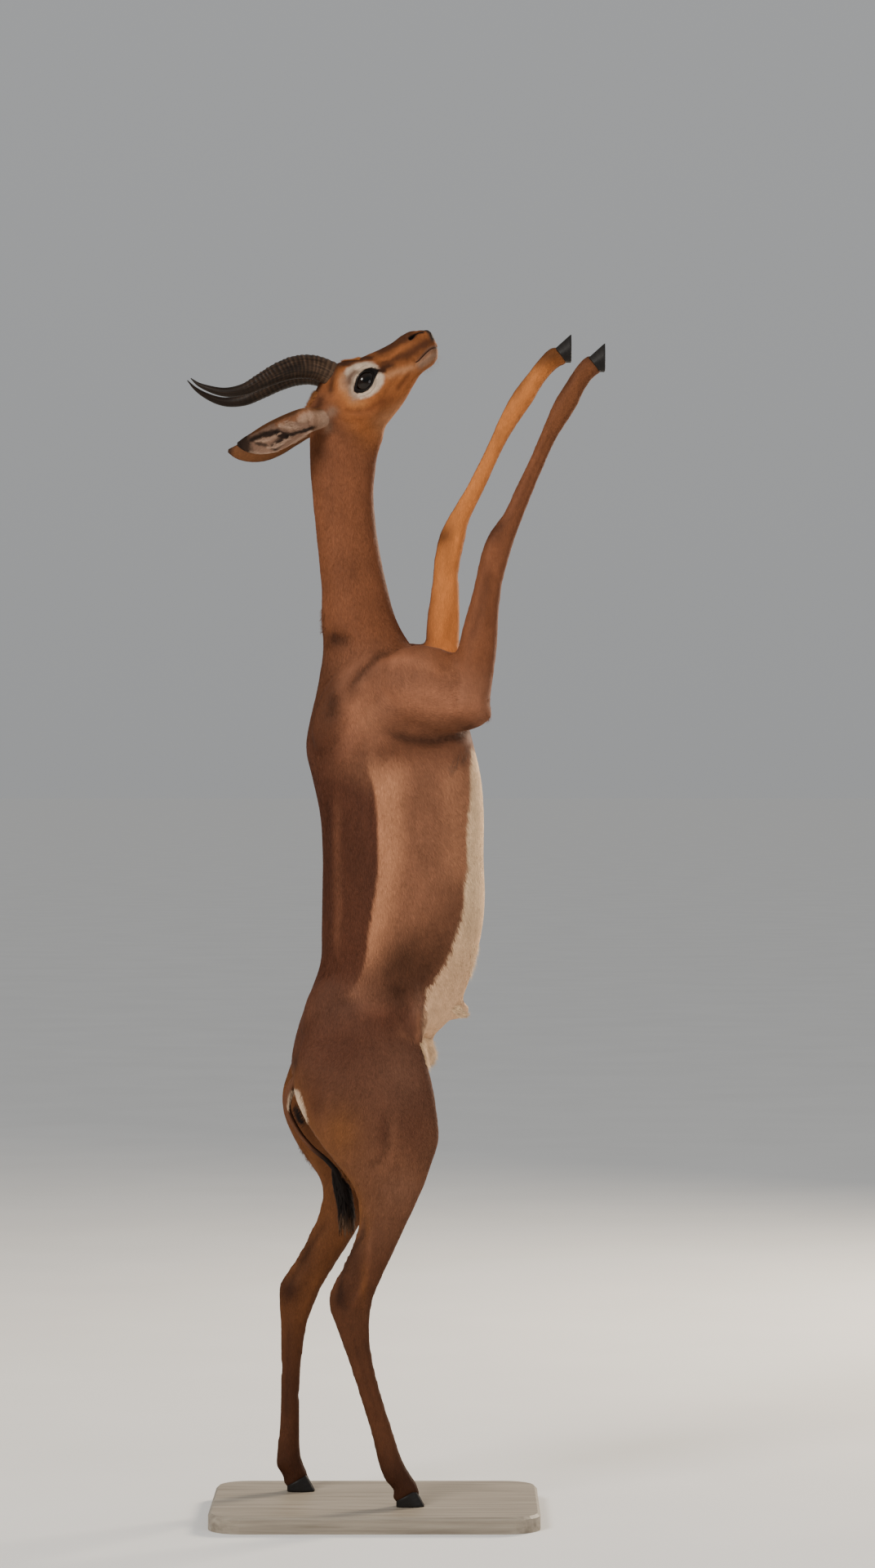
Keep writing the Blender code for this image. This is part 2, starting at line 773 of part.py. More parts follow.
def nostril_cutter(side, collection):
    """A comma-shaped nostril."""
    stations = [
        Ring(221, 8, 8, 2.4, 3.0),
        Ring(213, 13, 12, 4.0, 4.6),
        Ring(203, 17, 15, 3.0, 4.2),
        Ring(192, 18, 18, 0.9, 1.8),
    ]
    return path_tube(stations, "nostril", collection, sides=8, steps=2, side=side, place=in_head)


def horn_path(side):
    """The horn's sections; the left horn lies a little higher towards its tip."""
    if side < 0:
        return HORN_PATH
    return [ring._replace(z=ring.z + lift) for ring, lift in zip(HORN_PATH, LEFT_HORN_LIFTS)]


def make_horn(side, name, collection):
    """One horn: ringed for two thirds of its length, then smooth to the tip."""
    count = 2 * HORN_RINGS
    ringed = [HORN_RINGED_SHARE * k / count for k in range(count)]
    smooth = list(np.linspace(HORN_RINGED_SHARE, 1.0, HORN_TIP_STEPS))
    fade = [min(1.0, (count - k) / 10) for k in range(count)]
    ridges = [HORN_RIDGE * fade[k] * (-1) ** k for k in range(count)] + [0.0] * len(smooth)
    rows = rows_at(horn_path(side), ringed + smooth)
    rings = path_rings(rows, HORN_SIDES, side=side, ridges=ridges)
    return skin_rings([[in_head(p) for p in ring] for ring in rings], name, collection)


def horn_seat(side, collection):
    """The root of a horn, a gap wider, to seat it in the brow."""
    swell = HORN_PATH[2].half_depth * HORN_RIDGE + GAP / MM
    return path_tube(
        HORN_PATH[:HORN_SEAT_RINGS], "horn_seat", collection, sides=HORN_SIDES, steps=3,
        side=side, swell=swell, place=in_head,
    )


def ear_sections(side):
    """The ear's sections; the left ear is carried a little higher and further back."""
    if side < 0:
        return EAR_SECTIONS
    root = EAR_SECTIONS[0].x
    last = len(EAR_SECTIONS) - 1
    return [
        ring._replace(x=root + (ring.x - root) * LEFT_EAR_SHARE, z=ring.z + LEFT_EAR_LIFT * k / last)
        for k, ring in enumerate(EAR_SECTIONS)
    ]


def make_ear(side, name, collection, swell=0.0):
    """One ear: a long leaf hollowed on its outer side into a cup."""
    sections = ear_sections(side)
    ear = path_tube(
        sections, name, collection, sides=12, steps=2, side=side, swell=swell, place=in_head
    )
    if swell:
        return ear
    wall = EAR_WALL / MM
    shift = EAR_CUP_SHIFT / MM
    inner = []
    for station in sections[EAR_CUP_START:-1]:
        half_depth = max(2.0, station.half_depth - wall)
        half_width = station.half_width - wall + shift
        inner.append(Ring(station.x, station.z, station.side + shift, half_depth, half_width))
    shallow, narrow = EAR_CUP_MOUTH
    first = inner[0]
    inner[0] = first._replace(
        half_depth=first.half_depth * shallow, half_width=first.half_width * narrow
    )
    cup = path_tube(inner, "cup", collection, sides=12, steps=2, side=side, place=in_head)
    boolean(ear, cup, "DIFFERENCE")
    bpy.data.objects.remove(cup, do_unlink=True)
    return ear


def claw_rings(foot, side, swell):
    """Rings of one claw, from its sole to the edge where the hair begins."""
    across = foot.up.cross(foot.forward)
    rings = []
    for height in (0.0, 0.15, 1.0):
        slope = height * CLAW_TOE_HEIGHT * foot.toe_slope
        draw_in = 1 - 0.14 * height
        half_length = CLAW_LENGTH / 2 - slope / 2 + swell
        middle = -CLAW_LENGTH / 2 - slope / 2
        ring = []
        for k in range(CLAW_POINTS):
            angle = 2 * math.pi * k / CLAW_POINTS
            run = math.cos(angle)
            bulge = math.sin(angle)
            narrow = 1 - 0.42 * max(0.0, run) ** 2
            reach = swell if bulge > 0 or not swell else swell + CLAW_CLEFT
            half = CLAW_HALF_WIDTH * (1.05 if bulge > 0 else 0.80) * narrow * draw_in + reach
            along = middle + half_length * run
            lean = -0.0020 * max(0.0, run)
            out = CLAW_HALF_WIDTH * 0.80 + CLAW_CLEFT / 2 + lean + bulge * half
            rise = CLAW_HEEL_HEIGHT + (CLAW_TOE_HEIGHT - CLAW_HEEL_HEIGHT) * (0.5 + 0.5 * run)
            level = height * rise + (swell if height == 1 else -swell if height == 0 else 0.0)
            ring.append(foot.toe + foot.forward * along + foot.up * level + across * (side * out))
        rings.append(ring)
    return rings


def make_claw(foot, side, name, collection, swell=0.0):
    """One of a foot's two claws."""
    return skin_rings(claw_rings(foot, side, swell), name, collection)


def lock(root, direction, outward, length, width, bend, name, collection):
    """A flat tapered lock of hair that bends back in towards the tail."""
    across = direction.cross(outward).normalized()
    rings = []
    for share, size in ((0.0, 0.75), (0.35, 1.0), (0.75, 0.62), (1.0, 0.12)):
        middle = root + direction * (length * share)
        middle += outward * (bend * math.sin(math.pi * share * 0.8))
        half = width * size / 2
        thick = max(0.0004, half * 0.42)
        ring = [
            middle + across * half,
            middle + outward * thick,
            middle - across * half,
            middle - outward * thick,
        ]
        rings.append(ring)
    return skin_rings(rings, name, collection)


def make_tail(name, collection, cutters):
    """The thin tail and its tuft of flat overlapping locks, fused into one body."""
    tail = path_tube(TAIL_PATH, name, collection, sides=10, steps=2)
    rows = smooth_rows(TAIL_PATH, 12)
    centres = rows[:, [0, 2, 1]] * MM
    draw = random.Random(SEED)
    tuft = bpy.data.collections.new("tuft")
    bpy.context.scene.collection.children.link(tuft)
    first = int(len(centres) * TUFT_SPAN[0])
    last = int(len(centres) * TUFT_SPAN[1])
    for k in range(TAIL_LOCKS):
        share = k / (TAIL_LOCKS - 1)
        at = round(first + (last - first) * share)
        tangent = Vector(centres[at] - centres[at - 2]).normalized()
        angle = k * LOCK_TURN + draw.uniform(-0.2, 0.2)
        across = Vector((0, 1, 0))
        deep = tangent.cross(across).normalized()
        outward = (across * math.cos(angle) + deep * math.sin(angle)).normalized()
        fall = Vector((0.04, 0.0, -1.0)).normalized()
        direction = (tangent * 0.45 + fall * 0.55 + outward * 0.20).normalized()
        outward = (outward - direction * outward.dot(direction)).normalized()
        length = LOCK_LENGTH + LOCK_LENGTH_DRAW * draw.random() - LOCK_LENGTH_LOSS * share
        width = LOCK_WIDTH + LOCK_WIDTH_DRAW * draw.random()
        root = Vector(centres[at]) + outward * LOCK_SINK
        lock(root, direction, outward, length, width, LOCK_BEND, f"lock_{k}", tuft)
    modifier = tail.modifiers.new("Union", "BOOLEAN")
    modifier.operation = "UNION"
    modifier.solver = "EXACT"
    modifier.operand_type = "COLLECTION"
    modifier.collection = tuft
    depsgraph = bpy.context.evaluated_depsgraph_get()
    mesh = bpy.data.meshes.new_from_object(tail.evaluated_get(depsgraph))
    tail.modifiers.clear()
    tail.data = mesh
    for piece in list(tuft.objects):
        bpy.data.objects.remove(piece, do_unlink=True)
    bpy.data.collections.remove(tuft)
    keep_largest(tail)
    return tail


def tail_root(collection):
    """The tail's own shape, a gap wider, to seat it in the rump."""
    return path_tube(TAIL_PATH[:4], "tail_seat", collection, sides=10, steps=2, swell=GAP / MM)


def make_base(name, collection):
    """The flat display base: a plate with round corners and a small chamfer."""
    bpy.ops.mesh.primitive_cube_add(size=1.0, location=(0, 0, BASE_THICKNESS / 2))
    base = bpy.context.active_object
    base.name = name
    base.scale = (BASE_LENGTH, BASE_WIDTH, BASE_THICKNESS)
    bpy.ops.object.transform_apply(location=True, rotation=False, scale=True)
    for other in list(base.users_collection):
        other.objects.unlink(base)
    collection.objects.link(base)
    bm = bmesh.new()
    bm.from_mesh(base.data)
    upright = [e for e in bm.edges if abs(e.verts[0].co.z - e.verts[1].co.z) > BASE_THICKNESS / 2]
    bmesh.ops.bevel(
        bm, geom=upright, offset=BASE_CORNER, segments=6, profile=0.5, affect="EDGES"
    )
    top = [e for e in bm.edges if all(v.co.z > BASE_THICKNESS * 0.9 for v in e.verts)]
    bmesh.ops.bevel(bm, geom=top, offset=BASE_EDGE, segments=1, profile=0.5, affect="EDGES")
    bm.to_mesh(base.data)
    bm.free()
    return base


def subtract(obj, cutter):
    """Take a cutter out of an object and remove the cutter."""
    boolean(obj, cutter, "DIFFERENCE")
    bpy.data.objects.remove(cutter, do_unlink=True)


def tidy(obj, material, angle=FLESH_CREASE):
    """Leave one closed surface of triangles, in its material, smooth but for its creases."""
    keep_largest(obj)
    bm = bmesh.new()
    bm.from_mesh(obj.data)
    bmesh.ops.remove_doubles(bm, verts=bm.verts, dist=WELD)
    bmesh.ops.dissolve_degenerate(bm, edges=bm.edges, dist=WELD)
    bmesh.ops.triangulate(bm, faces=bm.faces)
    bm.to_mesh(obj.data)
    bm.free()
    obj.data.materials.clear()
    obj.data.materials.append(material)
    obj.data.shade_smooth()
    obj.data.set_sharp_from_angle(angle=angle)


def main():
    """Model the animal whole, part it, and seat eyes, ears, horns, hooves and tail."""
    clear_scene()
    animal = make_collection("gerenuk")
    cutters = make_collection("cutters")
    coat = finish("coat", COAT, 0.85)
    dark_coat = finish("dark_coat", COAT_DARK, 0.85)
    pale_coat = finish("pale_coat", COAT_PALE, 0.85)
    horn = finish("horn", HORN_COLOUR, 0.55)
    hoof = finish("hoof", HOOF_COLOUR, 0.45)
    hair = finish("black_hair", TUFT_COLOUR, 0.7)
    eye = finish("eye", EYE_COLOUR, 0.08)
    base_finish = finish("base", BASE_COLOUR, 0.6)

    flesh = body_pieces(cutters)
    skull = head_pieces(cutters)
    body = fuse(flesh + skull, "torso", animal, BODY_VOXEL)
    throat = level_tube(TRUNK[:NECK_SLICES], "throat", cutters, sides=36)
    head = fuse([throat] + skull, "head", animal, HEAD_VOXEL)
    for piece in flesh + skull + [throat]:
        bpy.data.objects.remove(piece, do_unlink=True)
    relax(body, BODY_RELAXING)
    relax(head, HEAD_RELAXING)
    thin_to(body, BODY_TRIANGLES)
    collar = upright_normal(NAPE_CUT, THROAT_CUT)
    cut(head, THROAT_CUT, collar, cutters)
    thin_to(head, HEAD_TRIANGLES)

    legs = {}
    for name, (low, high) in FORE_ROOMS.items():
        legs[name] = copy_of(body, name, animal)
        room = box_cutter(low, high, "room", cutters)
        boolean(legs[name], room, "INTERSECT")
        bpy.data.objects.remove(room, do_unlink=True)
        reach = Vector((GAP, GAP, GAP))
        subtract(body, box_cutter(low - reach, high + reach, "room", cutters))
    neck = copy_of(body, "neck", animal)
    cut(neck, THROAT_CUT, collar, cutters, keep_above=False)
    shoulders = upright_normal(NECK_ROOT, BREAST_CUT)
    cut(neck, NECK_ROOT, shoulders, cutters)
    cut(body, NECK_ROOT, shoulders, cutters, keep_above=False)
    for name, side in (("hindleg_right", -1), ("hindleg_left", 1)):
        legs[name] = copy_of(body, name, animal)
        room = groin_cutter(side, 0.0, "room", cutters)
        boolean(legs[name], room, "INTERSECT")
        bpy.data.objects.remove(room, do_unlink=True)
    for side in (-1, 1):
        subtract(body, groin_cutter(side, GAP / math.cos(GROIN_SLOPE), "room", cutters))
    for host in (body, legs["hindleg_right"], legs["hindleg_left"]):
        subtract(host, tail_root(cutters))
    tail = make_tail("tail", animal, cutters)

    for side, word in ((-1, "right"), (1, "left")):
        socket = ball(eye_centre(side), EYE_RADIUS + GAP, "socket", cutters)
        subtract(head, socket)
        subtract(head, lid_opening(side, cutters))
        subtract(head, mouth_cutter(side, cutters))
        subtract(head, nostril_cutter(side, cutters))
        subtract(head, horn_seat(side, cutters))
        subtract(head, make_ear(side, "ear_seat", cutters, swell=GAP / MM))
        tidy(ball(eye_centre(side), EYE_RADIUS, f"eye_{word}", animal), eye)
        tidy(make_horn(side, f"horn_{word}", animal), horn, HORN_CREASE)
        tidy(make_ear(side, f"ear_{word}", animal), pale_coat)

    for foot in FEET:
        end, word = foot.name.split("_")
        limb = legs[f"{end}leg_{word}"]
        for side in (-1, 1):
            across = foot.up.cross(foot.forward) * side
            place = "inner" if across.y * foot.toe.y < 0 else "outer"
            subtract(limb, make_claw(foot, side, "claw_seat", cutters, swell=GAP))
            claw = make_claw(foot, side, f"hoof_{foot.name}_{place}", animal)
            tidy(claw, hoof, HOOF_CREASE)

    tidy(head, coat)
    tidy(neck, coat)
    tidy(body, coat)
    tidy(tail, hair)
    for name, limb in legs.items():
        tidy(limb, pale_coat if name.startswith("fore") else dark_coat)
    tidy(make_base("stand_base", animal), base_finish, BASE_CREASE)


if __name__ == "__main__":
    main()
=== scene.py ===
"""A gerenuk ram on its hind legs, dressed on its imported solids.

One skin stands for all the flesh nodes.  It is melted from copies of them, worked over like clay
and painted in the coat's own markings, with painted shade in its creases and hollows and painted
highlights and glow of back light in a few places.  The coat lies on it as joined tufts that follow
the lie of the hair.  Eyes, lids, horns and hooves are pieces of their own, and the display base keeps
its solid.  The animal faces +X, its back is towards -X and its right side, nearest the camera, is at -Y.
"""

import logging
import math
from dataclasses import dataclass
from enum import Enum

import bmesh
import bpy
import numpy as np
from mathutils import Matrix, Vector
from mathutils.bvhtree import BVHTree


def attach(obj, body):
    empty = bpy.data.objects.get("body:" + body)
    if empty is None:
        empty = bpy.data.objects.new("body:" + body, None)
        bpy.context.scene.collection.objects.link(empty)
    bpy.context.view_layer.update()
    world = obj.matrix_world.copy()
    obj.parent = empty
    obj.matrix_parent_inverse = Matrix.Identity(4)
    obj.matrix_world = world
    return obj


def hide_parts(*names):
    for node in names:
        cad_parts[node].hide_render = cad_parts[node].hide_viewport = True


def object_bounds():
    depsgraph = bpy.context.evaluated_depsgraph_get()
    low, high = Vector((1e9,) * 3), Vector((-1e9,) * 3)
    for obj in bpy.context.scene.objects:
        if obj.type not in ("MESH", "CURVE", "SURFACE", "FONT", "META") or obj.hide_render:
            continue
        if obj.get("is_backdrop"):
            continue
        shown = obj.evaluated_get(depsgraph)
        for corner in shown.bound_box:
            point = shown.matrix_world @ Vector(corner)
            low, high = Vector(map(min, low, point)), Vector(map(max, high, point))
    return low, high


LOG = logging.getLogger("gerenuk")
MM = 0.001
BODY = "root"
Colour = tuple[float, float, float]
Points = tuple[tuple[float, float], ...]

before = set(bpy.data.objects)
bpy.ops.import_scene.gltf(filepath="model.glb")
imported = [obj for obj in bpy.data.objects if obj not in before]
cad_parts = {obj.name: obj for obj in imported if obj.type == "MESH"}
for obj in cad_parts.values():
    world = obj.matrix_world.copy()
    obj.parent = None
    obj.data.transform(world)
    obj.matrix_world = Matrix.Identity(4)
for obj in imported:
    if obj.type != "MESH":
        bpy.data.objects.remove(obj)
CAD_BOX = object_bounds()


class Part(Enum):
    """The parts of the animal that the skin and the coat tell apart."""

    HEAD = 0
    NECK = 1
    TORSO = 2
    FORE_RIGHT = 3
    FORE_LEFT = 4
    HIND_RIGHT = 5
    HIND_LEFT = 6
    EAR_RIGHT = 7
    EAR_LEFT = 8
    TAIL = 9


NODE_PARTS = {
    "head": Part.HEAD,
    "neck": Part.NECK,
    "torso": Part.TORSO,
    "foreleg_right": Part.FORE_RIGHT,
    "foreleg_left": Part.FORE_LEFT,
    "hindleg_right": Part.HIND_RIGHT,
    "hindleg_left": Part.HIND_LEFT,
    "ear_right": Part.EAR_RIGHT,
    "ear_left": Part.EAR_LEFT,
    "tail": Part.TAIL,
}


class Side(Enum):
    """The side of the body that something is on, by the sign of its Y."""

    RIGHT = -1
    LEFT = 1

    @property
    def word(self) -> str:
        """The side's word in the names of nodes and pieces."""
        return self.name.lower()


# The photo's frame

PHOTO_MIDDLE = (536.0, 960.0)
PIXEL = 0.0015
VIEW_MIDDLE = Vector((0.114, 0.0, 1.3425))
VIEW_DISTANCE = 8.0
VIEW_HEIGHT = 2.88


def to_photo(points: np.ndarray, mirrored: bool = False) -> np.ndarray:
    """Find where points would show in the photo.

    Args:
        points: An array of points in metres.
        mirrored: Whether points of the far side are read as if they were on the near one.

    Returns:
        An array of pixel places.
    """
    side = -np.abs(points[:, 1]) if mirrored else points[:, 1]
    shrink = VIEW_DISTANCE / (VIEW_DISTANCE + side)
    right = PHOTO_MIDDLE[0] + (points[:, 0] - VIEW_MIDDLE.x) / PIXEL * shrink
    down = PHOTO_MIDDLE[1] - (points[:, 2] - VIEW_MIDDLE.z) / PIXEL * shrink
    return np.column_stack([right, down])


# The head's own frame: X to the muzzle, Y to the left, Z to the crown, in millimetres

HEAD_ORIGIN = Vector((-0.090, 0.0, 2.055))
HEAD_PITCH = math.radians(29.0)
HEAD_YAW = math.radians(4.5)
HEAD_ROLL = math.radians(-3.5)
HEAD = (
    Matrix.Translation(HEAD_ORIGIN)
    @ Matrix.Rotation(HEAD_YAW, 4, "Z")
    @ Matrix.Rotation(-HEAD_PITCH, 4, "Y")
    @ Matrix.Rotation(HEAD_ROLL, 4, "X")
)
HEAD_TURN = np.array(HEAD.to_3x3())
HEAD_PLACE = np.array(HEAD_ORIGIN)


def in_head(points: np.ndarray) -> np.ndarray:
    """Take points in millimetres of the head's frame into space."""
    return (np.asarray(points, dtype=float) * MM) @ HEAD_TURN.T + HEAD_PLACE


def to_head(points: np.ndarray) -> np.ndarray:
    """Take points of space into millimetres of the head's frame."""
    return (points - HEAD_PLACE) @ HEAD_TURN / MM


# Small tools


def smoothstep(values: np.ndarray, low: float, high: float) -> np.ndarray:
    """Rise smoothly from 0 at low to 1 at high; low may be above high."""
    share = np.clip((values - low) / (high - low), 0.0, 1.0)
    return share * share * (3.0 - 2.0 * share)


def unit(vectors: np.ndarray) -> np.ndarray:
    """Scale each row to length 1."""
    return vectors / np.maximum(np.linalg.norm(vectors, axis=1, keepdims=True), 1e-9)


def lattice_noise(points: np.ndarray, cell: float, seed: int) -> np.ndarray:
    """Smooth seeded noise from -1 to 1 with lumps about one cell across.

    Args:
        points: An array of points in metres.
        cell: The size of a lump in metres.
        seed: A whole number that picks the pattern.

    Returns:
        One value for each point.
    """
    place = points / cell
    corner = np.floor(place).astype(np.int64)
    within = place - corner
    within = within * within * (3.0 - 2.0 * within)
    total = np.zeros(len(points))
    for step in range(8):
        shift = np.array([step & 1, (step >> 1) & 1, (step >> 2) & 1])
        at = corner + shift
        mixed = at[:, 0] * 374761393 + at[:, 1] * 668265263 + at[:, 2] * 2147483647 + seed * 974711
        mixed = (mixed ^ (mixed >> 13)) * 1274126177
        value = ((mixed ^ (mixed >> 16)) & 0xFFFF) / 32767.5 - 1.0
        total += value * np.prod(np.where(shift, within, 1.0 - within), axis=1)
    return total


def line_distance(places: np.ndarray, line: Points) -> tuple[np.ndarray, np.ndarray]:
    """Measure how far flat places are from a line of points.

    Args:
        places: An array of flat places.
        line: The line's points.

    Returns:
        The distances, and how far along the line the nearest point is, from 0 to 1.
    """
    best = np.full(len(places), np.inf)
    along = np.zeros(len(places))
    count = len(line) - 1
    for k in range(count):
        start = np.array(line[k])
        reach = np.array(line[k + 1]) - start
        share = np.clip((places - start) @ reach / max(reach @ reach, 1e-9), 0.0, 1.0)
        gap = np.linalg.norm(places - start - share[:, None] * reach, axis=1)
        nearer = gap < best
        best = np.where(nearer, gap, best)
        along = np.where(nearer, (k + share) / count, along)
    return best, along


def outline_distance(places: np.ndarray, outline: Points) -> np.ndarray:
    """Measure how far flat places are outside a closed outline; inside it is below 0."""
    gap, _ = line_distance(places, outline + outline[:1])
    inside = np.zeros(len(places), dtype=bool)
    for (left, low), (right, high) in zip(outline, outline[1:] + outline[:1]):
        crosses = (low > places[:, 1]) != (high > places[:, 1])
        reach = (right - left) * (places[:, 1] - low) / (high - low if high != low else 1e-9) + left
        inside ^= crosses & (places[:, 0] < reach)
    return np.where(inside, -gap, gap)


def select_only(obj: bpy.types.Object) -> None:
    """Select one object alone and make it active."""
    bpy.ops.object.select_all(action="DESELECT")
    obj.select_set(True)
    bpy.context.view_layer.objects.active = obj


def apply_modifier(obj: bpy.types.Object, kind: str, **settings: object) -> None:
    """Add a modifier to an object, set it and apply it.

    Args:
        obj: The object to change.
        kind: The modifier's type.
        **settings: The modifier's settings.
    """
    select_only(obj)
    modifier = obj.modifiers.new(kind.title(), kind)
    for key, value in settings.items():
        setattr(modifier, key, value)
    bpy.ops.object.modifier_apply(modifier=modifier.name)


def points_of(obj: bpy.types.Object) -> np.ndarray:
    """Read a mesh's points as an array."""
    points = np.empty(len(obj.data.vertices) * 3)
    obj.data.vertices.foreach_get("co", points)
    return points.reshape(-1, 3)


def normals_of(obj: bpy.types.Object) -> np.ndarray:
    """Read a mesh's point normals as an array."""
    normals = np.empty(len(obj.data.vertices) * 3)
    obj.data.vertex_normals.foreach_get("vector", normals)
    return normals.reshape(-1, 3)


def set_points(obj: bpy.types.Object, points: np.ndarray) -> None:
    """Move a mesh's points."""
    obj.data.vertices.foreach_set("co", points.ravel())
    obj.data.update()


def make_object(name: str, points: np.ndarray, faces: list) -> bpy.types.Object:
    """Make an object at the origin from points and faces.

    Args:
        name: The piece's name.
        points: Its points in metres.
        faces: Its faces, each a list of point numbers.

    Returns:
        The new object, smooth and with its faces pointing out.
    """
    mesh = bpy.data.meshes.new(name)
    mesh.from_pydata([tuple(p) for p in points], [], faces)
    bm = bmesh.new()
    bm.from_mesh(mesh)
    bmesh.ops.recalc_face_normals(bm, faces=bm.faces)
    bm.to_mesh(mesh)
    bm.free()
    mesh.shade_smooth()
    obj = bpy.data.objects.new(name, mesh)
    bpy.context.scene.collection.objects.link(obj)
    return obj


def join_all(pieces: list, name: str) -> bpy.types.Object:
    """Join objects into the first of them and rename it."""
    bpy.ops.object.select_all(action="DESELECT")
    for piece in pieces:
        piece.select_set(True)
    bpy.context.view_layer.objects.active = pieces[0]
    bpy.ops.object.join()
    pieces[0].name = name
    pieces[0].data.name = name
    return pieces[0]


def relax(obj: bpy.types.Object, rounds: int, mask: np.ndarray | None = None) -> None:
    """Smooth a mesh without shrinking it.

    Args:
        obj: The mesh object.
        rounds: How many times it is drawn in and pushed back out.
        mask: How much each point takes part, from 0 to 1.
    """
    points = points_of(obj)
    count = len(points)
    edges = np.empty(len(obj.data.edges) * 2, dtype=np.int64)
    obj.data.edges.foreach_get("vertices", edges)
    edges = edges.reshape(-1, 2)
    degree = np.maximum(np.bincount(edges.ravel(), minlength=count), 1)[:, None]
    share_of = np.ones((count, 1)) if mask is None else mask[:, None]
    for _ in range(rounds):
        for share in (0.55, -0.57):
            total = np.column_stack(
                [
                    np.bincount(edges[:, 0], points[edges[:, 1], axis], minlength=count)
                    + np.bincount(edges[:, 1], points[edges[:, 0], axis], minlength=count)
                    for axis in range(3)
                ]
            )
            points = points + share_of * share * (total / degree - points)
    set_points(obj, points)


def keep_largest(obj: bpy.types.Object) -> None:
    """Keep only the largest connected surface of a mesh."""
    bm = bmesh.new()
    bm.from_mesh(obj.data)
    unseen = set(bm.faces)
    best: set = set()
    while unseen:
        stack = [unseen.pop()]
        island = set(stack)
        while stack:
            for edge in stack.pop().edges:
                for face in edge.link_faces:
                    if face in unseen:
                        unseen.remove(face)
                        island.add(face)
                        stack.append(face)
        if len(island) > len(best):
            best = island
    bmesh.ops.delete(bm, geom=[face for face in bm.faces if face not in best], context="FACES")
    bm.to_mesh(obj.data)
    bm.free()


# Sections along a path, as in the solids


@dataclass(frozen=True)
class Ring:
    """A section square to a path: its centre, half depth and half width, in millimetres."""

    x: float
    z: float
    side: float
    half_depth: float
    half_width: float

    def row(self) -> tuple[float, float, float, float, float]:
        """The section as plain numbers."""
        return (self.x, self.z, self.side, self.half_depth, self.half_width)


HORN_PATH = (
    Ring(37, 4, 22, 18, 14),
    Ring(31, 17, 25, 22, 17.5),
    Ring(21, 33.2, 29, 22.5, 18.5),
    Ring(0.5, 54.6, 36, 22.3, 18),
    Ring(-24.7, 67, 45, 21.3, 17.5),
    Ring(-58, 73, 55, 18.6, 16),
    Ring(-96, 73.7, 64, 14.8, 13.8),
    Ring(-132, 75, 69, 11.4, 11),
    Ring(-164, 86.8, 70, 8.9, 8.2),
    Ring(-188, 108.5, 67, 6.1, 5.8),
    Ring(-201, 127, 62, 3.4, 3.4),
    Ring(-206, 141, 58, 1.2, 1.2),
)
LEFT_HORN_LIFTS = (0, 0, 0, 0, 0, 0, 0, 0.5, 2.5, 6, 11, 15)

EAR_PATH = (
    Ring(-16, -36, 32, 14, 11),
    Ring(-36, -34, 44, 19, 13),
    Ring(-58, -28, 57, 23.5, 14),
    Ring(-86, -27, 70, 26, 15),
    Ring(-115, -28, 80, 27.8, 14.5),
    Ring(-142, -27, 87, 26, 12.5),
    Ring(-166, -22, 91, 19.5, 9),
    Ring(-183, -15, 93.5, 11.5, 5.5),
    Ring(-193, -9.5, 95, 3, 2),
)
LEFT_EAR_LIFT = 19.0
LEFT_EAR_SHARE = 1.045

TAIL_PATH = (
    Ring(-132, 812, 0, 13, 13),
    Ring(-156, 782, 0, 10.5, 11),
    Ring(-162, 752, 0, 7.5, 9),
    Ring(-146, 712, 0, 5.5, 7),
    Ring(-118, 676, -2, 5, 6),
    Ring(-88, 650, -3, 5, 6),
    Ring(-66, 622, -4, 5.5, 6.5),
    Ring(-56, 585, -4, 4, 4.5),
    Ring(-54, 552, -4, 2, 2),
)


def horn_path(side: Side) -> tuple[Ring, ...]:
    """The horn's sections; the left horn lies a little higher towards its tip."""
    if side is Side.RIGHT:
        return HORN_PATH
    return tuple(
        Ring(r.x, r.z + lift, r.side, r.half_depth, r.half_width)
        for r, lift in zip(HORN_PATH, LEFT_HORN_LIFTS)
    )


def ear_path(side: Side) -> tuple[Ring, ...]:
    """The ear's sections; the left ear is carried a little higher and further back."""
    if side is Side.RIGHT:
        return EAR_PATH
    root = EAR_PATH[0].x
    last = len(EAR_PATH) - 1
    return tuple(
        Ring(
            root + (r.x - root) * LEFT_EAR_SHARE,
            r.z + LEFT_EAR_LIFT * k / last,
            r.side,
            r.half_depth,
            r.half_width,
        )
        for k, r in enumerate(EAR_PATH)
    )


def read_path(path: tuple[Ring, ...], shares: np.ndarray) -> np.ndarray:
    """Read a smooth curve through sections at shares of its length.

    Args:
        path: The sections.
        shares: Shares of the path's length, from 0 to 1.

    Returns:
        One row of numbers for each share.
    """
    rows = np.array([ring.row() for ring in path], dtype=float)
    spans = np.linalg.norm(np.diff(rows[:, :3], axis=0), axis=1)
    at = np.concatenate([[0.0], np.cumsum(spans)])
    slopes = np.gradient(rows, at, axis=0)
    fine = []
    for k, span in enumerate(spans):
        for t in np.arange(24) / 24:
            fine.append(
                (2 * t**3 - 3 * t**2 + 1) * rows[k]
                + (t**3 - 2 * t**2 + t) * span * slopes[k]
                + (3 * t**2 - 2 * t**3) * rows[k + 1]
                + (t**3 - t**2) * span * slopes[k + 1]
            )
    fine = np.array(fine + [rows[-1]])
    lengths = np.linalg.norm(np.diff(fine[:, :3], axis=0), axis=1)
    place = np.concatenate([[0.0], np.cumsum(lengths)]) / np.sum(lengths)
    return np.column_stack([np.interp(shares, place, column) for column in fine.T])


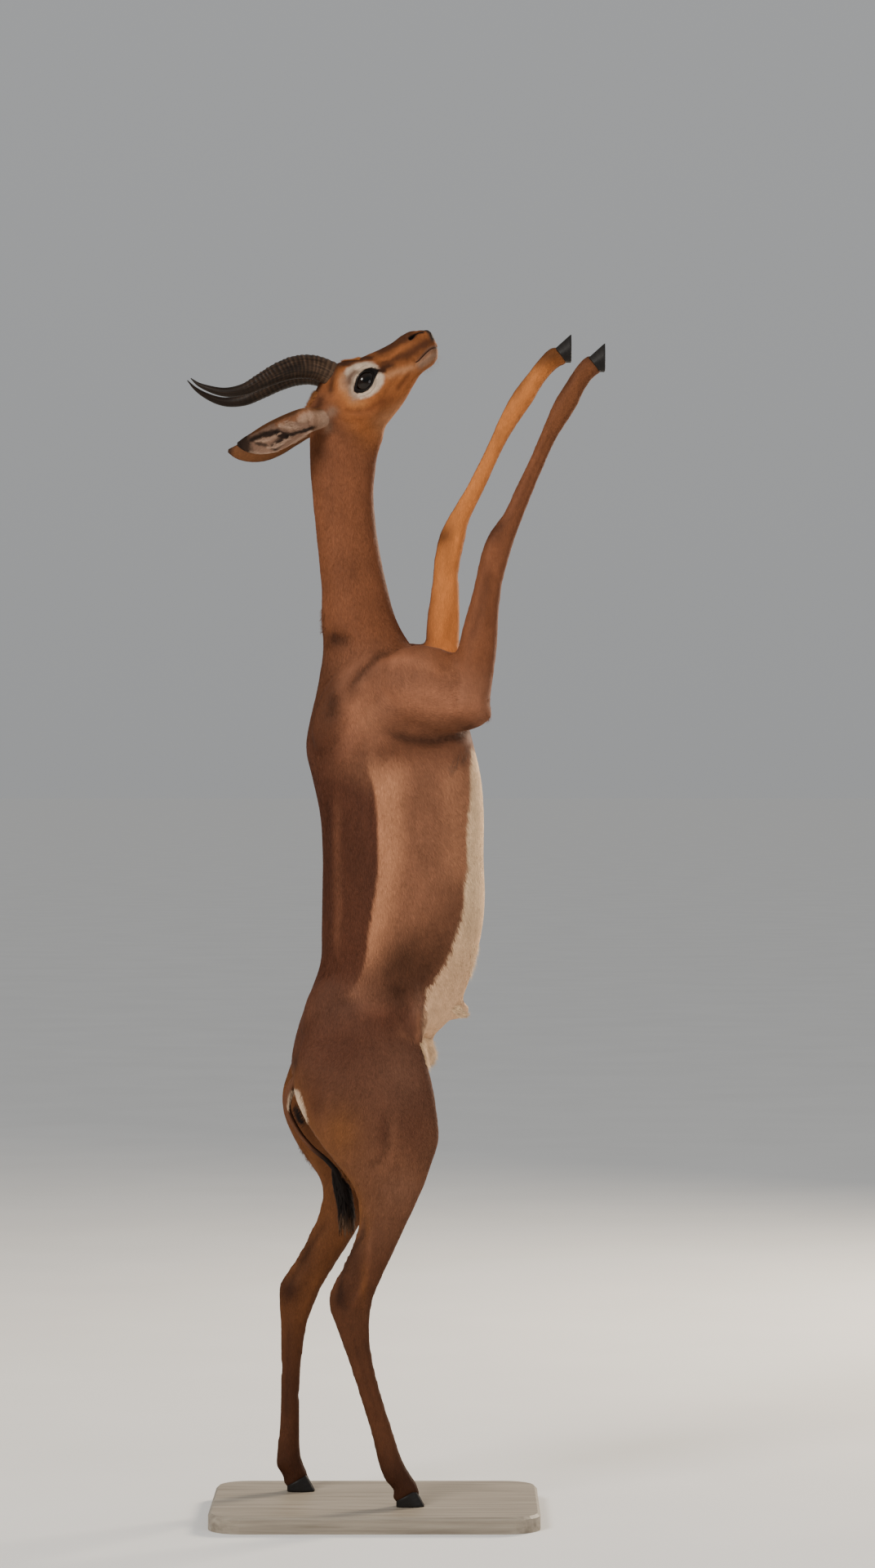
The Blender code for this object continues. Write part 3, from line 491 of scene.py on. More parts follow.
@dataclass
class Tube:
    """A path read at many places, with the directions square to it."""

    rows: np.ndarray
    side: float = 1.0

    def __post_init__(self) -> None:
        """Work out the middle line and its directions, in millimetres."""
        self.centres = self.rows[:, [0, 2, 1]]
        self.tangents = unit(np.gradient(self.centres, axis=0))
        across = np.array([0.0, 1.0, 0.0]) - self.tangents * self.tangents[:, 1:2]
        self.across = unit(across)
        self.deep = np.cross(self.tangents, self.across)

    def ring(self, k: int, deep: np.ndarray, across: np.ndarray) -> np.ndarray:
        """Place one ring of points from their ways deep and across, in millimetres."""
        points = (
            self.centres[k]
            + deep[:, None] * self.deep[k]
            + across[:, None] * self.across[k]
        )
        points[:, 1] *= self.side
        return points


def tube_faces(rings: int, sides: int) -> list:
    """The faces of a capped tube of rings with as many sides each."""
    faces = []
    for k in range(rings - 1):
        low = k * sides
        high = low + sides
        for n in range(sides):
            m = (n + 1) % sides
            faces.append((low + n, low + m, high + m, high + n))
    faces.append(tuple(range(sides)))
    faces.append(tuple(range((rings - 1) * sides, rings * sides))[::-1])
    return faces


def make_tube(
    name: str, tube: Tube, sides: int, grow: float = 1.0, of_head: bool = True
) -> bpy.types.Object:
    """Make a plain round tube along a path.

    Args:
        name: The object's name.
        tube: The path.
        sides: How many sides it has.
        grow: How much wider than its sections it is.
        of_head: Whether the path is in the head's frame.

    Returns:
        The new object.
    """
    angles = 2 * math.pi * np.arange(sides) / sides
    points = []
    for k, row in enumerate(tube.rows):
        points.append(tube.ring(k, grow * row[3] * np.cos(angles), grow * row[4] * np.sin(angles)))
    points = np.concatenate(points)
    points = in_head(points) if of_head else points * MM
    return make_object(name, points, tube_faces(len(tube.rows), sides))


# Where each part of the body is


@dataclass
class Anatomy:
    """Tells which part of the animal a place belongs to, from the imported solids."""

    def __post_init__(self) -> None:
        """Gather the flesh solids' faces in one tree."""
        points: list = []
        faces: list = []
        self.parts: list[int] = []
        for node, part in NODE_PARTS.items():
            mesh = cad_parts[node].data
            first = len(points)
            points.extend(tuple(v.co) for v in mesh.vertices)
            for polygon in mesh.polygons:
                faces.append([first + n for n in polygon.vertices])
                self.parts.append(part.value)
        self.tree = BVHTree.FromPolygons(points, faces)

    def part_at(self, points: np.ndarray) -> np.ndarray:
        """Name the nearest part of each point, by its number."""
        find = self.tree.find_nearest
        return np.array([self.parts[find(Vector(p))[2]] for p in points])


# The limbs' middle lines, as X and Z in metres from the body outwards

LIMB_LINES = {
    Part.FORE_RIGHT: ((0.150, 1.480), (0.205, 1.680), (0.228, 1.784), (0.300, 1.940), (0.352, 2.043), (0.420, 2.150)),
    Part.FORE_LEFT: ((0.120, 1.500), (0.128, 1.690), (0.143, 1.804), (0.205, 1.933), (0.275, 2.063), (0.360, 2.180)),
    Part.HIND_RIGHT: ((-0.020, 0.950), (-0.020, 0.760), (0.020, 0.640), (0.015, 0.545), (-0.045, 0.400), (-0.028, 0.300), (0.016, 0.155), (0.070, 0.040)),
    Part.HIND_LEFT: ((-0.020, 0.950), (-0.042, 0.765), (-0.037, 0.640), (-0.060, 0.550), (-0.145, 0.390), (-0.155, 0.300), (-0.161, 0.150), (-0.140, 0.040)),
}


# The eyes

EYE_RADIUS = 0.0195
EYE_WIDE = 22.0
EYE_PLACE = (71.5, 28.5, -14.5)
LID_HALF_LENGTH = 18.4
LID_HALF_HEIGHT = 14.2
LID_SLANT = 0.22
LID_PINCH = 0.30


def almond(angles: np.ndarray, grow: float = 0.0) -> np.ndarray:
    """The opening between the lids, flat in the head's frame.

    Args:
        angles: Places round the opening, 0 at its front corner.
        grow: How much wider than the opening, in millimetres.

    Returns:
        Ways along and up from the eye's middle, in millimetres.
    """
    along = (LID_HALF_LENGTH + grow) * np.cos(angles)
    pinch = 1 - LID_PINCH * np.abs(np.cos(angles)) ** 3
    high = (LID_HALF_HEIGHT + grow) * np.sin(angles) * pinch + LID_SLANT * along
    return np.column_stack([along, high])


def almond_distance(local: np.ndarray) -> np.ndarray:
    """How far points of the head's frame are outside the lids' opening, in millimetres."""
    places = np.column_stack([local[:, 0] - EYE_PLACE[0], local[:, 2] - EYE_PLACE[2]])
    outline = almond(2 * math.pi * np.arange(65) / 64)
    gap, _ = line_distance(places, tuple(map(tuple, outline)))
    level = places[:, 1] - LID_SLANT * places[:, 0]
    along = np.clip(places[:, 0] / LID_HALF_LENGTH, -1, 1)
    pinch = 1 - LID_PINCH * np.abs(along) ** 3
    high = LID_HALF_HEIGHT * np.sqrt(1 - along**2) * pinch
    inside = (np.abs(places[:, 0]) < LID_HALF_LENGTH) & (np.abs(level) < high)
    return np.where(inside, -gap, gap)


DARK_EYE = (
    (44.2, -21.4), (51.0, -11.5), (60.1, -3.4), (70.1, 2.3), (81.8, 4.8), (93.6, 2.6), (101.4, -2.4),
    (104.5, -8.0), (97.5, -13.7), (88.5, -19.6), (79.5, -27.2), (68.9, -31.3), (57.5, -31.4), (47.8, -27.4),
)
EYE_RING = (
    (46.9, 16.7), (55.0, 22.1), (65.3, 22.9), (83.2, 20.4), (99.4, 11.1), (105.6, 0.8), (107.6, -10.5),
    (107.9, -22.4), (99.5, -33.5), (84.0, -40.4), (66.8, -42.7), (50.1, -39.1), (39.8, -30.8),
    (38.3, -20.7), (43.7, -8.7), (44.9, 3.7),
)


# The skin


@dataclass(frozen=True)
class Stroke:
    """A ridge or furrow worked into the skin along a line, its reach and lift in millimetres.

    On the head the line is ways along and up in the head's frame.  On the body it is in the
    photo's pixels, read for both sides alike, or on its own part alone where that is a leg.
    """

    line: Points
    reach: float
    lift: float
    part: Part = Part.TORSO

    def share(self, points: np.ndarray, normals: np.ndarray, parts: np.ndarray) -> np.ndarray:
        """How strongly the stroke works the body at each point, from 0 to 1; the same share sets painted shade in a
        furrow and painted light on a ridge.
        """
        of_trunk = self.part is Part.TORSO
        gap, along = line_distance(to_photo(points, mirrored=of_trunk), self.line)
        ends = smoothstep(along, 0.0, 0.2) * smoothstep(along, 1.0, 0.8)
        if of_trunk:
            mine = smoothstep(normals[:, 1] * np.sign(points[:, 1]), 0.1, 0.5) * (points[:, 2] < 1.65)
        else:
            mine = smoothstep(np.abs(normals[:, 1]), 0.1, 0.5) * (parts == self.part.value)
        return mine * np.exp(-((gap * PIXEL / MM / self.reach) ** 2)) * (0.25 + 0.75 * ends)


HEAD_STROKES = (
    Stroke(((180, 26), (192, 27.5), (204, 25.5), (213, 20)), 3.2, 1.6),
    Stroke(((188, 11.5), (200, 11), (211, 9.5)), 2.6, 1.1),
    Stroke(((104, -12), (116, -12.5), (130, -9)), 4.0, -1.8),
    Stroke(((101, 15), (116, 9), (140, 10), (168, 12)), 6.0, 1.3),
    Stroke(((112, -22), (140, -22), (166, -20)), 8.0, -1.4),
    Stroke(((88, -46), (110, -34), (134, -28)), 6.0, 1.7),
    Stroke(((30, -40), (52, -52), (88, -46)), 6.0, 1.5),
    Stroke(((120, -54), (135, -49), (148, -42)), 4.0, -1.8),
    Stroke(((126, -44), (142, -38), (158, -34)), 4.0, 1.3),
    Stroke(((18, -45), (33, -57), (58, -64), (90, -62)), 4.5, -1.8),
    Stroke(((20, -58), (38, -70), (62, -76)), 6.0, 1.6),
    Stroke(((176, -33), (190, -31), (206, -28)), 4.0, 1.5),
    Stroke(((172, -19), (188, -17), (206, -12)), 4.0, 1.3),
    Stroke(((166, -34), (170, -27), (172, -20)), 3.0, -1.2),
    Stroke(((48, 24), (66, 28), (84, 26), (100, 18)), 4.5, 2.2),
    Stroke(((38, -2), (42, -20), (50, -38)), 4.0, -1.0),
    Stroke(((-8, -52), (4, -70), (26, -86)), 7.0, 1.5),
    Stroke(((-6, -30), (0, -52), (14, -74)), 4.0, -1.6),
)

BODY_STROKES = (
    Stroke(((482, 797), (466, 801), (455, 810), (440, 826), (428, 842)), 7.0, -4.2),
    Stroke(((470, 812), (495, 806), (520, 811), (545, 822)), 11.0, 2.5),
    Stroke(((466, 893), (500, 905), (532, 908), (562, 900), (590, 884)), 9.0, -5.5),
    Stroke(((480, 850), (530, 858), (570, 864), (598, 870)), 24.0, 6.0),
    Stroke(((446, 850), (428, 895), (416, 940)), 20.0, 3.5),
    Stroke(((404, 778), (428, 783)), 11.0, -4.0),
    Stroke(((410, 846), (404, 880)), 9.0, -3.0),
    Stroke(((402, 955), (401, 1060), (403, 1168)), 7.0, -2.2),
    Stroke(((414, 955), (413, 1060), (416, 1168)), 12.0, 1.3),
    Stroke(((534, 812), (543, 818), (553, 815)), 4.0, -1.8),
    Stroke(((500, 1208), (505, 1240), (512, 1278)), 7.0, 2.5),
    Stroke(((517, 1222), (518, 1250), (520, 1282)), 5.0, -3.5),
    Stroke(((425, 1205), (450, 1232), (480, 1240)), 16.0, 3.0),
    Stroke(((465, 1362), (475, 1376), (472, 1395), (475, 1407), (460, 1422), (446, 1431)), 5.0, -1.9, Part.HIND_RIGHT),
    Stroke(((482, 1368), (484, 1395), (478, 1425), (462, 1440)), 9.0, 1.6, Part.HIND_RIGHT),
    Stroke(((448, 1488), (445, 1512), (431, 1532), (421, 1557), (417, 1578), (421, 1594)), 5.0, -4.2, Part.HIND_RIGHT),
    Stroke(((440, 1503), (423, 1540), (410, 1572)), 4.0, 1.4, Part.HIND_RIGHT),
    Stroke(((455, 1506), (449, 1568), (430, 1605)), 5.0, 3.2, Part.HIND_RIGHT),
    Stroke(((412, 1582), (418, 1596), (428, 1606)), 4.0, -2.5, Part.HIND_RIGHT),
    Stroke(((428, 1622), (448, 1690), (468, 1752)), 3.2, -1.9, Part.HIND_RIGHT),
    Stroke(((440, 1622), (460, 1690), (480, 1750)), 3.2, -1.0, Part.HIND_RIGHT),
    Stroke(((402, 1492), (380, 1528), (364, 1556), (356, 1572)), 5.0, -3.6, Part.HIND_LEFT),
    Stroke(((392, 1560), (378, 1590), (370, 1606)), 4.5, 1.8, Part.HIND_LEFT),
    Stroke(((354, 1612), (352, 1690), (350, 1748)), 3.2, -1.8, Part.HIND_LEFT),
    Stroke(((598, 700), (590, 745), (575, 790)), 8.0, -2.5, Part.FORE_RIGHT),
    Stroke(((606, 640), (600, 668), (598, 694)), 6.0, 2.0, Part.FORE_RIGHT),
    Stroke(((628, 634), (648, 590), (672, 535), (690, 498)), 3.2, -1.8, Part.FORE_RIGHT),
    Stroke(((556, 745), (548, 790)), 8.0, -2.0, Part.FORE_LEFT),
    Stroke(((560, 655), (556, 690)), 6.0, 1.8, Part.FORE_LEFT),
    Stroke(((580, 630), (602, 585), (628, 530), (648, 492)), 3.2, -1.8, Part.FORE_LEFT),
)


FLESH = ("head", "neck", "torso", "foreleg_right", "foreleg_left", "hindleg_right", "hindleg_left")
FEET = {
    "hind_right": ((0.091, -0.086, 0.0303), (1, 0, 0), (0, 0, 1), 0.55),
    "hind_left": ((-0.113, 0.086, 0.0303), (1, 0, 0), (0, 0, 1), 0.55),
    "fore_right": ((0.419, -0.072, 2.145), (0, 0, 1), (-1, 0, 0), 0.90),
    "fore_left": ((0.362, 0.072, 2.176), (0, 0, 1), (-1, 0, 0), 0.90),
}


@dataclass
class Skin:
    """The one skin over all the flesh."""

    anatomy: Anatomy
    voxel: float = 0.0057
    swell: float = 0.0006
    body_depth: float = 0.0017
    fine_depth: float = 0.0009
    ear_wall: float = 2.6

    def build(self) -> bpy.types.Object:
        """Melt, draw in, refine and work the skin.

        Returns:
            The skin's object.
        """
        skin = self._melt()
        self._draw_in(skin)
        for side in Side:
            self._unite(skin, self._ear(side))
        tail = Tube(read_path(TAIL_PATH, np.linspace(0.0, 0.97, 50)))
        self._unite(skin, make_tube("tail_core", tail, 14, 0.86, False))
        self._refine(skin)
        self._work_head(skin)
        self._work_body(skin)
        relax(skin, 12, smoothstep(points_of(skin)[:, 2], 1.95, 1.85))
        skin.data.shade_smooth()
        LOG.info("skin: %d faces", len(skin.data.polygons))
        return skin

    def _swollen_copy(self, node: str) -> bpy.types.Object:
        """Copy a solid's mesh, weld it and push it out a little, so that neighbours overlap."""
        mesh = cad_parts[node].data.copy()
        copy = bpy.data.objects.new(f"{node}_copy", mesh)
        bpy.context.scene.collection.objects.link(copy)
        select_only(copy)
        bpy.ops.object.mode_set(mode="EDIT")
        bpy.ops.mesh.select_all(action="SELECT")
        bpy.ops.mesh.remove_doubles(threshold=0.000004)
        bpy.ops.object.mode_set(mode="OBJECT")
        set_points(copy, points_of(copy) + normals_of(copy) * self.swell)
        return copy

    def _heel_bulb(self, name: str) -> bpy.types.Object:
        """The soft bulb that fills the back of a foot above its two claws."""
        toe, forward, up, _ = FEET[name]
        middle = Vector(toe) - Vector(forward) * 0.043 + Vector(up) * 0.019
        bpy.ops.mesh.primitive_uv_sphere_add(segments=24, ring_count=16, radius=1.0)
        bulb = bpy.context.active_object
        turn = Matrix((Vector(forward), Vector(up).cross(Vector(forward)), Vector(up))).transposed()
        for vert in bulb.data.vertices:
            vert.co = middle + turn @ Vector((vert.co.x * 0.016, vert.co.y * 0.0165, vert.co.z * 0.014))
        return bulb

    def _melt(self) -> bpy.types.Object:
        """Melt the flesh solids, eyes and plugs into one even skin."""
        pieces = [self._swollen_copy(node) for node in FLESH + ("eye_left", "eye_right")]
        for side in Side:
            horn = Tube(read_path(horn_path(side)[:3], np.linspace(0, 1, 8)), side.value)
            pieces.append(make_tube("horn_plug", horn, 20, 1.06))
            ear = Tube(read_path(ear_path(side)[:3], np.linspace(0, 1, 8)), side.value)
            pieces.append(make_tube("ear_plug", ear, 20, 1.06))
        pieces += [self._heel_bulb(name) for name in FEET]
        skin = join_all(pieces, "skin")
        apply_modifier(skin, "REMESH", mode="VOXEL", voxel_size=self.voxel, adaptivity=0.0)
        keep_largest(skin)
        relax(skin, 28)
        return skin

    def _draw_in(self, skin: bpy.types.Object) -> None:
        """Draw the skin in by the depth of its coat."""
        points = points_of(skin)
        parts = self.anatomy.part_at(points)
        fine = np.isin(parts, [Part.HEAD.value, Part.FORE_LEFT.value, Part.FORE_RIGHT.value])
        fine |= points[:, 2] < 0.45
        depth = np.where(fine, self.fine_depth, self.body_depth)
        set_points(skin, points - normals_of(skin) * depth[:, None])

    def _ear(self, side: Side) -> bpy.types.Object:
        """Loft one ear as a leaf whose outer side is a cup with a thin wall."""
        shares = np.linspace(0.0, 1.0, 44)
        tube = Tube(read_path(ear_path(side), shares), side.value)
        half = 18
        angles = 2 * math.pi * np.arange(2 * half) / (2 * half)
        inner = np.sin(angles) > 0
        points = []
        for k, share in enumerate(shares):
            deep, wide = tube.rows[k, 3:5]
            cup = float(smoothstep(np.array([share]), 0.16, 0.34)[0])
            wall = min(self.ear_wall, wide * 0.7)
            hollow = wide * (1 - cup) - (wide - wall) * cup
            across = np.where(inner, hollow, wide) * np.sin(angles)
            points.append(tube.ring(k, deep * np.cos(angles), across))
        points = in_head(np.concatenate(points))
        return make_object(f"ear_{side.word}_flesh", points, tube_faces(len(shares), 2 * half))

    def _unite(self, skin: bpy.types.Object, piece: bpy.types.Object) -> None:
        """Join a closed piece to the skin so that no seam is left between them."""
        apply_modifier(skin, "BOOLEAN", object=piece, operation="UNION", solver="MANIFOLD")
        bpy.data.objects.remove(piece, do_unlink=True)

    def _refine(self, skin: bpy.types.Object) -> None:
        """Split the faces of the head, and those of eyes and muzzle once more."""
        for level in (1, 2):
            bm = bmesh.new()
            bm.from_mesh(skin.data)
            centres = np.array([face.calc_center_median() for face in bm.faces])
            sizes = np.array([face.calc_area() for face in bm.faces])
            local = to_head(centres)
            chosen = (local[:, 0] > -45) & (np.abs(local[:, 1]) < 62) & (centres[:, 2] > 1.985)
            if level == 2:
                near_eye = np.abs(almond_distance(local)) < 9
                muzzle = local[:, 0] > 165
                chosen &= near_eye | muzzle
            limit = (self.voxel * 0.6) ** 2 if level == 1 else (self.voxel * 0.3) ** 2
            chosen &= sizes > limit
            faces = [face for face, pick in zip(bm.faces, chosen) if pick]
            edges = list({edge for face in faces for edge in face.edges})
            bmesh.ops.subdivide_edges(bm, edges=edges, cuts=1, use_grid_fill=True)
            bm.to_mesh(skin.data)
            bm.free()
        local = to_head(points_of(skin))
        mask = smoothstep(local[:, 0], -60, -40) * (np.abs(local[:, 1]) < 64)
        relax(skin, 4, mask)

    def _work_head(self, skin: bpy.types.Object) -> None:
        """Work brow, cheeks, lips and nostrils, and set the lids round the eyes."""
        points = points_of(skin)
        normals = normals_of(skin)
        local = to_head(points)
        facing = normals @ HEAD_TURN
        outward = np.sign(local[:, 1]) * facing[:, 1]
        here = (local[:, 0] > -40) & (np.abs(local[:, 1]) < 62) & (points[:, 2] > 1.98)
        flat = local[:, [0, 2]]
        lift = np.zeros(len(points))
        for stroke in HEAD_STROKES:
            gap, along = line_distance(flat, stroke.line)
            ends = smoothstep(along, 0.0, 0.12) * smoothstep(along, 1.0, 0.88)
            lift += stroke.lift * np.exp(-((gap / stroke.reach) ** 2)) * (0.35 + 0.65 * ends)
        lift *= smoothstep(outward, 0.05, 0.5)
        mouth, _ = line_distance(flat, MOUTH_LINE)
        low = smoothstep(outward, -0.3, 0.3) + smoothstep(facing[:, 0], 0.2, 0.7)
        lift -= 2.8 * np.exp(-((mouth / 1.4) ** 2)) * np.clip(low, 0, 1)
        nostril, along = line_distance(flat, NOSTRIL_LINE)
        wide = nostril_width(along)
        open_side = smoothstep(outward, 0.0, 0.4)
        lift -= (2.2 + 1.3 * wide) * smoothstep(nostril, wide + 0.6, wide * 0.2) * open_side
        lift += 1.1 * np.exp(-(((nostril - wide - 1.6) / 1.4) ** 2)) * open_side
        points += normals * (lift * here * MM)[:, None]
        local = to_head(points)
        flat = local[:, [0, 2]]
        opening = almond_distance(local)
        dark = outline_distance(flat, DARK_EYE)
        for side in Side:
            middle = np.array(EYE_PLACE) * np.array([1, side.value, 1])
            mine = here & (local[:, 1] * side.value > 8)
            away = (local - middle) * np.array([1, side.value, 1])
            reach = np.hypot(away[:, 0], away[:, 2])
            bowl = EYE_RADIUS / MM * np.sqrt(np.maximum(1 - (reach / EYE_WIDE) ** 2, 0.04))
            lid = bowl + 2.3 + 1.1 * np.exp(-(((dark - 3.0) / 2.0) ** 2)) - 0.9 * np.exp(-(((dark - 6.2) / 1.3) ** 2))
            lid = np.maximum(lid, away[:, 1] - 4.0)
            level = bowl - 2.8 + (lid - bowl + 2.8) * smoothstep(opening, -1.5, 0.7)
            weight = smoothstep(opening, 9.0, 2.5) * mine
            local[:, 1] += (level - away[:, 1]) * weight * side.value
        set_points(skin, in_head(local))

    def _work_body(self, skin: bpy.types.Object) -> None:
        """Work the folds and muscles of body and legs along their strokes."""
        points = points_of(skin)
        normals = normals_of(skin)
        parts = self.anatomy.part_at(points)
        lift = sum(stroke.lift * stroke.share(points, normals, parts) for stroke in BODY_STROKES)
        set_points(skin, points + normals * (lift * MM)[:, None])


MOUTH_LINE = (
    (172.8, -26.8), (177.5, -26.6), (185.2, -24.6), (193.3, -21.8), (203.6, -19.2), (212.3, -18.4),
    (219, -19.6), (226, -21),
)
NOSTRIL_LINE = ((185.5, 17.0), (190.8, 17.6), (197.6, 19.2), (205.7, 18.6), (212.5, 15.6))


def nostril_width(along: np.ndarray) -> np.ndarray:
    """The nostril's half width along its slit in millimetres, widest near its rear end."""
    return 1.0 + 2.5 * smoothstep(along, 0.62, 0.12)


# The coat's markings, with painted shade, highlights and glow of back light

CHESTNUT: Colour = (0.182, 0.063, 0.027)
CHESTNUT_DEEP: Colour = (0.066, 0.022, 0.009)
SHOULDER: Colour = (0.212, 0.083, 0.042)
# A dark brown, used for darker hair and for painted shadow under the upper arm.
ARM_DARK_AND_SHADE: Colour = (0.076, 0.024, 0.009)
SADDLE: Colour = (0.078, 0.026, 0.013)
BUFF: Colour = (0.410, 0.176, 0.088)
FLANK: Colour = (0.212, 0.087, 0.045)
FLANK_DARK: Colour = (0.044, 0.015, 0.006)
# The underside's white, warmed towards gold as painted back light.
CREAM: Colour = (0.800, 0.535, 0.320)
HAUNCH: Colour = (0.106, 0.042, 0.023)
HIP_PALE: Colour = (0.215, 0.102, 0.062)
THIGH: Colour = (0.135, 0.054, 0.027)
THIGH_REAR: Colour = (0.172, 0.064, 0.021)
SHANK: Colour = (0.088, 0.031, 0.013)
SHANK_DARK: Colour = (0.036, 0.012, 0.005)
LEG_WARM: Colour = (0.128, 0.045, 0.015)
# The orange of hair glowing in back light, painted as its colour.
BACKLIT_ORANGE: Colour = (0.600, 0.205, 0.050)
FACE: Colour = (0.300, 0.098, 0.028)
FACE_GOLD: Colour = (0.400, 0.158, 0.050)
FACE_PALE: Colour = (0.440, 0.215, 0.105)
FACE_RED: Colour = (0.150, 0.044, 0.014)
BRIDGE: Colour = (0.045, 0.015, 0.006)
FOREHEAD: Colour = (0.085, 0.027, 0.008)
RING_WHITE: Colour = (0.560, 0.425, 0.315)
RING_GREY: Colour = (0.240, 0.165, 0.110)
LID_BLACK: Colour = (0.008, 0.005, 0.004)
LIP: Colour = (0.150, 0.085, 0.057)
NOSE_PAD: Colour = (0.030, 0.019, 0.013)
EAR_BACK: Colour = (0.135, 0.052, 0.019)
EAR_SKIN: Colour = (0.200, 0.112, 0.072)
LIP_PALE: Colour = (0.270, 0.165, 0.108)
# The colour of the painted shade on the upper muzzle.
MUZZLE: Colour = (0.078, 0.025, 0.009)
HAIR_WHITE: Colour = (0.620, 0.450, 0.310)
EAR_WHITE: Colour = (0.400, 0.250, 0.168)
EAR_BLACK: Colour = (0.010, 0.005, 0.003)
BLACK_HAIR: Colour = (0.008, 0.005, 0.004)

SADDLE_EDGE = (
    (446, 900), (450, 930), (452.5, 947), (457.5, 958), (461, 982), (463, 1012), (463, 1050), (461, 1080),
    (457.5, 1107), (454, 1132), (450, 1155), (447.5, 1175), (444, 1192), (434, 1212), (418, 1230),
)
STRIPE_EDGE = ((500, 930), (496, 975), (494, 1050), (484, 1100), (474, 1150), (465, 1187), (462, 1220))
BELLY_EDGE = (
    (598, 884), (584, 900), (576, 918), (575, 957), (574, 982), (571, 1012), (570.5, 1050), (570, 1075),
    (567.5, 1100), (564, 1125), (559, 1145), (551, 1170), (542.5, 1187), (531, 1202), (522.5, 1212),
    (518, 1232), (518, 1270), (521, 1290), (528, 1340),
)
DARK_FLANK = (
    (474, 1178), (494, 1150), (522, 1128), (548, 1100), (567, 1088), (565, 1120), (555, 1155),
    (540, 1182), (523, 1203), (509, 1222), (490, 1236), (476, 1222), (464, 1200),
)


def edge_at(level: np.ndarray, edge: Points) -> np.ndarray:
    """How far right a marking's edge is at each level of the photo."""
    table = np.array(edge)
    return np.interp(level, table[:, 1], table[:, 0])


